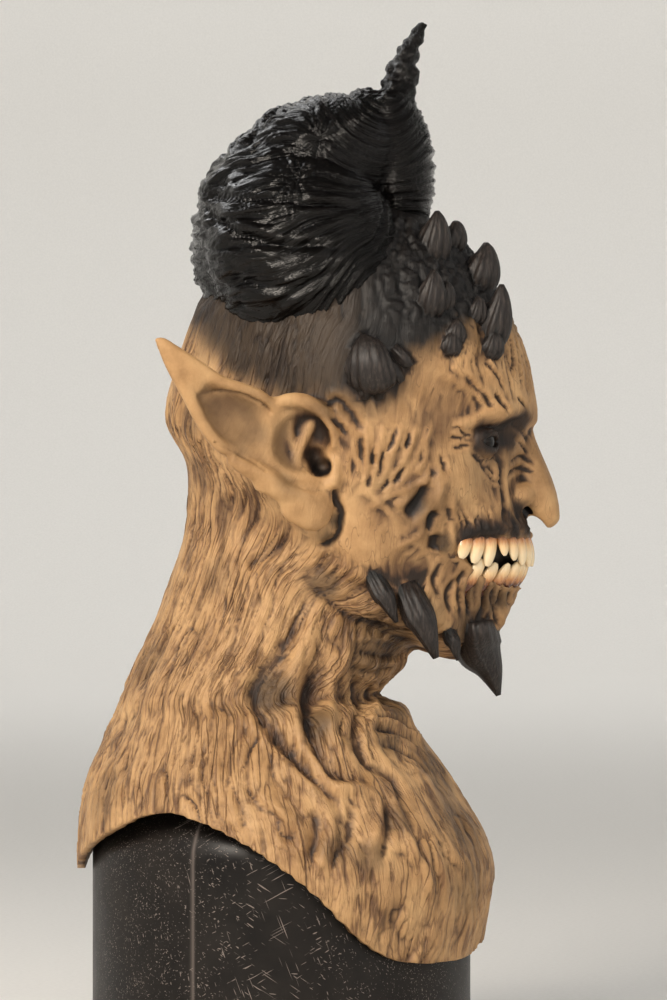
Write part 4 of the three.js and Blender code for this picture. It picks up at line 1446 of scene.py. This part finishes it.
collar_depths = np.array([0.9, 1.05, 0.85])
most_bulge = 1.6
stain_length = 17
old_ivory, ivory_tree = new_material("stained ivory resin")
gum_resin, gum_tree = new_material("dark gum resin")
crooked = np.random.default_rng(7)
for name, row in tooth_rows.items():
    gum, lean, inset = row["gum"], row["lean"], row["inset"]
    turns = np.linspace(-row["reach"] - 0.05, row["reach"] + 0.05, 40)
    path = [face_point(turn, gum - lean, inset) for turn in turns]
    teeth = tube(name, path, [3.4] * 5, [3.6] * 5, 14, 60)
    teeth.data.materials.append(gum_resin)
    for turn, wide, long in row["teeth"]:
        for side in (-1, 1):
            root = face_point(side * turn, gum, inset)
            tip = face_point(side * turn, gum + lean * long, row["tip_inset"])
            tangent = face_point(side * (turn + 0.04), gum, 0) - face_point(side * (turn - 0.04), gum, 0)
            tangent /= np.linalg.norm(tangent)
            tip = tip + tangent * (crooked.uniform(-0.8, 0.8) + row["slant"] * smooth_step(turn, 0.5, 0.65))
            outward = np.cross(tangent, (0, 0, 1.0))
            bulge = outward * (most_bulge if outward[1] < 0 else -most_bulge)
            path = [root, root * 0.72 + tip * 0.28 + bulge * 0.8, root * 0.4 + tip * 0.6 + bulge, tip]
            tooth = tube(
                "tooth", path, tooth_widths * wide, tooth_depths * wide, 20, 22, across=tangent, power=0.8
            )
            path = [root + (0, 0, lean * 1.5), root + (0, 0, lean * 4.5) + bulge * 0.4]
            collar = tube(
                "gum_collar", path, collar_widths * wide, collar_depths * wide, 16, 8, across=tangent
            )
            for part, finish in ((tooth, old_ivory), (collar, gum_resin)):
                part.data.materials.append(finish)
                combine(teeth, part, "UNION")
    shade_smooth(teeth)
    from_gum = np.abs(read_corners(teeth)[:, 2] - gum)
    write_values(teeth, "rootward", np.clip(1 - from_gum / stain_length, 0, 1))
    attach(teeth, "root")
    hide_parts(name)

# Stained ivory: streaked from pale tips to brown roots. A thin clear coat makes it look wet.
tree = ivory_tree
rootward = add_node(tree, "Attribute", {"attribute_name": "rootward"}, out="Fac")
places = add_node(tree, "TexCoord", out="Object")
stretched = add_node(tree, "Mapping", {}, {"Vector": places, "Scale": (1, 1, 0.25)})
streaks = add_node(tree, "TexNoise", {}, {"Vector": stretched, "Scale": 1 / (1.6 * mm), "Detail": 3})
uneven = add_node(tree, "Math", {"operation": "MULTIPLY_ADD"}, {0: streaks, 1: 0.3, 2: rootward})
stain = add_node(
    tree, "ValToRGB",
    {"stops": [(0.3, "#f3dcb4"), (0.58, "#e8c492"), (0.82, "#c08350"), (1, "#5a301a")]},
    {"Fac": uneven},
)
finish_material(
    tree, {"Base Color": stain, "Roughness": 0.24, "IOR": 1.5, "Coat Weight": 0.4, "Coat Roughness": 0.08}
)

# Gum resin: dark reddish brown in small blotches, moist between the teeth
tree = gum_tree
places = add_node(tree, "TexCoord", out="Object")
blotches = add_node(tree, "TexNoise", {}, {"Vector": places, "Scale": 1 / (3 * mm), "Detail": 3})
flesh = add_node(tree, "ValToRGB", {"stops": [(0.35, "#1f120e"), (0.65, "#4a261b")]}, {"Fac": blotches})
finish_material(tree, {"Base Color": flesh, "Roughness": 0.3, "Coat Weight": 0.3, "Coat Roughness": 0.1})

# Eyes: round resin eyes set behind the lids, nearly black, with a dark brown iris under a clear
# coat, so that they show little but a small bright reflection.

lens_coat, tree = new_material("clear coated dark resin")
gaze = add_node(tree, "Attribute", {"attribute_name": "gaze"}, out="Fac")
around = add_node(tree, "Attribute", {"attribute_name": "spokes"}, out="Vector")
spokes = add_node(tree, "TexNoise", {}, {"Vector": around, "Scale": 9, "Detail": 3}, "Color")
iris = [(0.16, "#040303"), (0.2, "#24160b"), (0.36, "#160d07"), (0.42, "#080505"), (1, "#16100c")]
eye_colour = add_node(tree, "ValToRGB", {"stops": iris}, {"Fac": gaze})
flecked = add_node(
    tree, "Mix", {"data_type": "RGBA", "blend_type": "MULTIPLY"},
    {"Factor": 0.6, "A": eye_colour, "B": spokes},
)
finish_material(tree, {"Base Color": flecked, "Roughness": 0.07, "IOR": 1.36})
cornea_reach = 0.55
cornea_swell = 0.05
for name, side in (("eye_right", -1), ("eye_left", 1)):
    middle = eye_middle * (-side, 1, 1)
    eye = egg(name, middle, (eye_radius,) * 3, 0, 64)
    corners = read_corners(eye) - middle
    towards = eye_axis * (-side, 1, 1)
    angle = np.arccos(np.clip(corners @ towards / np.linalg.norm(corners, axis=1), -1, 1))
    cornea = 1 + cornea_swell * np.clip(1 - (angle / cornea_reach) ** 2, 0, 1)
    write_corners(eye, corners * cornea[:, None] + middle)
    write_values(eye, "gaze", angle / math.pi * 2)
    flat = corners - (corners @ towards)[:, None] * towards
    write_values(eye, "spokes", flat / np.maximum(np.linalg.norm(flat, axis=1, keepdims=True), 1e-3))
    eye.data.materials.append(lens_coat)
    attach(eye, "root")
    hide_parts(name)

# Topknot: one hollow casting of wound hair, seated over the crown and glued down. It is painted
# black and flooded with clear gloss, so its strands show as thin wet highlights.

knot = egg("topknot", (0, -4, 509), (74, 60, 71), 0.06, 64)
knot_lobes = [
    ((-40, -14, 500), (50, 58, 60), 0.2),
    ((40, -14, 500), (50, 58, 60), 0.2),
    ((0, -26, 556), (58, 56, 41.5), -0.25),
    ((0, -71, 556), (38, 24, 47), -0.1),
    ((0, -54, 576), (30, 27, 26), 0.2),
]
for middle, radii, turn in knot_lobes:
    combine(knot, egg("lobe", middle, radii, turn, 56), "UNION")

# Its tip: four lumpy strands braided round a tapering core
spire_path = [(0, -66, 578), (0, -70, 592), (0, -74, 606), (0, -76, 618), (0, -81, 630), (0, -88, 642)]
spire_widths = [20, 12, 9, 7, 5.5, 2]
spire_depths = [19, 12, 9, 7, 5, 1.6]
combine(knot, tube("spire", spire_path, spire_widths, spire_depths, 28, 30), "UNION")
strand_count = 4
braid_turning = 7.5
share = np.linspace(0, 1, 26)
core = smooth_run(spire_path[1:], share)
out = np.interp(share, [0, 0.5, 1], [7.5, 5, 1])
strand_radii = np.interp(share, [0, 0.5, 1], [4.8, 4.0, 1.7])
for strand in range(strand_count):
    spin = strand * 2 * math.pi / strand_count + share * braid_turning
    path = core + np.stack([np.cos(spin) * out, np.sin(spin) * out, 0 * spin], 1)
    lumps = 1 + 0.32 * np.sin(share * 34 + strand * 2)
    combine(knot, tube("braid", path, strand_radii * lumps, None, 12, 60), "UNION")
knot_step = 1.25
even_mesh(knot, knot_step)
write_corners(knot, relax(read_corners(knot), read_edges(knot), 4))

# Its hair: strands that run round the knot, gathered in two pinched whorls on each side, with deeper
# folds between the locks
hair = Relief(knot)


def wind(points):
    """Points straightened along the hair, which runs round the knot and draws in at its waist."""
    core_y, waist_y, waist_level = -6, -66, 519
    tilt, waist_reach, waist_draw = 0.18, 30, 1.8
    spin = np.arctan2(points[:, 0], -(points[:, 1] - core_y))
    level = points[:, 2] + tilt * (points[:, 1] - core_y)
    drawn_in = 1 + waist_draw * np.exp(-(((points[:, 1] - waist_y) / waist_reach) ** 2))
    level = waist_level + (level - waist_level) * drawn_in
    bend = noise_shift(points, 34, 41) * 7
    run = np.stack([10 * np.cos(spin), 10 * np.sin(spin), level], 1) + bend * (0.3, 0.3, 1)
    return run, bend, drawn_in


wrapped, bend, drawn_in = wind(hair.corners)
wound = np.zeros(len(hair.corners))
for cell, rise, seed in ((13, 3.0, 51), (6, 1.9, 52), (3, 1.3, 53)):
    wound += rise * (ridged(wrapped, cell, seed, 2.6) - 0.5)
pinched = np.zeros(len(hair.corners))
pinch_share = np.zeros(len(hair.corners))
for y, z, radius, seed in ((-24, 570, 22, 61), (-9, 546, 18, 62)):
    middle = hair.lift(y, z)
    apart = (hair.side - middle) * (1, 1.3, 0.75)
    gap = np.linalg.norm(apart, axis=1)
    around = np.arctan2(apart[:, 2], apart[:, 1])
    folds = np.stack([np.cos(around) * 8, np.sin(around) * 8, gap / 9], 1) + bend * 0.14
    share = np.exp(-((gap / radius) ** 2)) * (pinch_share < 1)
    radial = np.zeros(len(gap))
    for cell, rise in ((4.6, 2.6), (2.0, 1.2)):
        radial += rise * (ridged(folds, cell, seed + int(cell), 2.6) - 0.5)
    pinched += share * (radial - 2.5 * np.exp(-((gap / 6) ** 2)))
    pinch_share = np.maximum(pinch_share, share)
spire_part = smooth_step(hair.corners[:, 2], 586, 600) * (hair.corners[:, 1] < -50)
hair.height = wound / drawn_in**0.8 * (1 - pinch_share) * (1 - 0.8 * spire_part) + pinched
hair.height += spire_part * 2.0 * noise(hair.corners, 5, 71)
for path, width, rise in (
    ([(52, 530), (30, 512), (4, 501), (-20, 499), (-40, 500)], 3.0, -3.0),
    ([(36, 483), (18, 477), (0, 474), (-20, 477), (-40, 486)], 3.0, -3.0),
    ([(50, 508), (30, 494), (4, 486), (-22, 488), (-50, 500)], 4.5, 2.0),
    ([(52, 540), (36, 531), (4, 530), (-30, 527), (-58, 523)], 2.6, -2.6),
    ([(-62, 540), (-66, 520), (-60, 504), (-48, 492)], 2.2, -2.2),
):
    hair.line(path, width, rise, 0.8)
deepest_press = 4.5
highest_rise = 3
hair.height = np.clip(hair.height, -deepest_press, highest_rise)
write_corners(knot, hair.shaped())
knot_triangles = 170000
thin_out(knot, knot_triangles)
shade_smooth(knot)
corners, edges = read_corners(knot), read_edges(knot)
recess = np.sum((relax(corners, edges, 4) - corners) * read_normals(knot), 1)
write_values(knot, "hollow", np.clip(recess / 0.5, -1, 1))
write_values(knot, "strands", wind(corners)[0] * mm)

# Wet hair: near black, a little darker still in its recesses as painted shade, with fibres that
# break up the sharp highlights of the gloss over it
knot.data.materials.clear()
wet_black, tree = new_material("black hair under wet gloss")
knot.data.materials.append(wet_black)
lie = add_node(tree, "Attribute", {"attribute_name": "strands"}, out="Vector")
hollows = add_node(tree, "Attribute", {"attribute_name": "hollow"}, out="Fac")
fibres = add_node(
    tree, "TexNoise", {},
    {"Vector": lie, "Scale": 1 / (1.8 * mm), "Detail": 4, "Roughness": 0.6, "Distortion": 0.3},
)
hair_recess_shade = add_node(tree, "MapRange", {}, {"Value": hollows, "From Min": -0.6, "From Max": 0.5})
hair_colour = add_node(
    tree, "ValToRGB", {"stops": [(0, "#0f0d0c"), (0.5, "#080706"), (1, "#030202")]}, {"Fac": hair_recess_shade}
)
fibre_bump = add_node(tree, "Bump", {}, {"Strength": 1, "Distance": 0.9 * mm, "Height": fibres})
finish_material(
    tree, {"Base Color": hair_colour, "Roughness": 0.1, "Specular IOR Level": 0.22, "Normal": fibre_bump}
)
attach(knot, "root")
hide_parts("topknot")
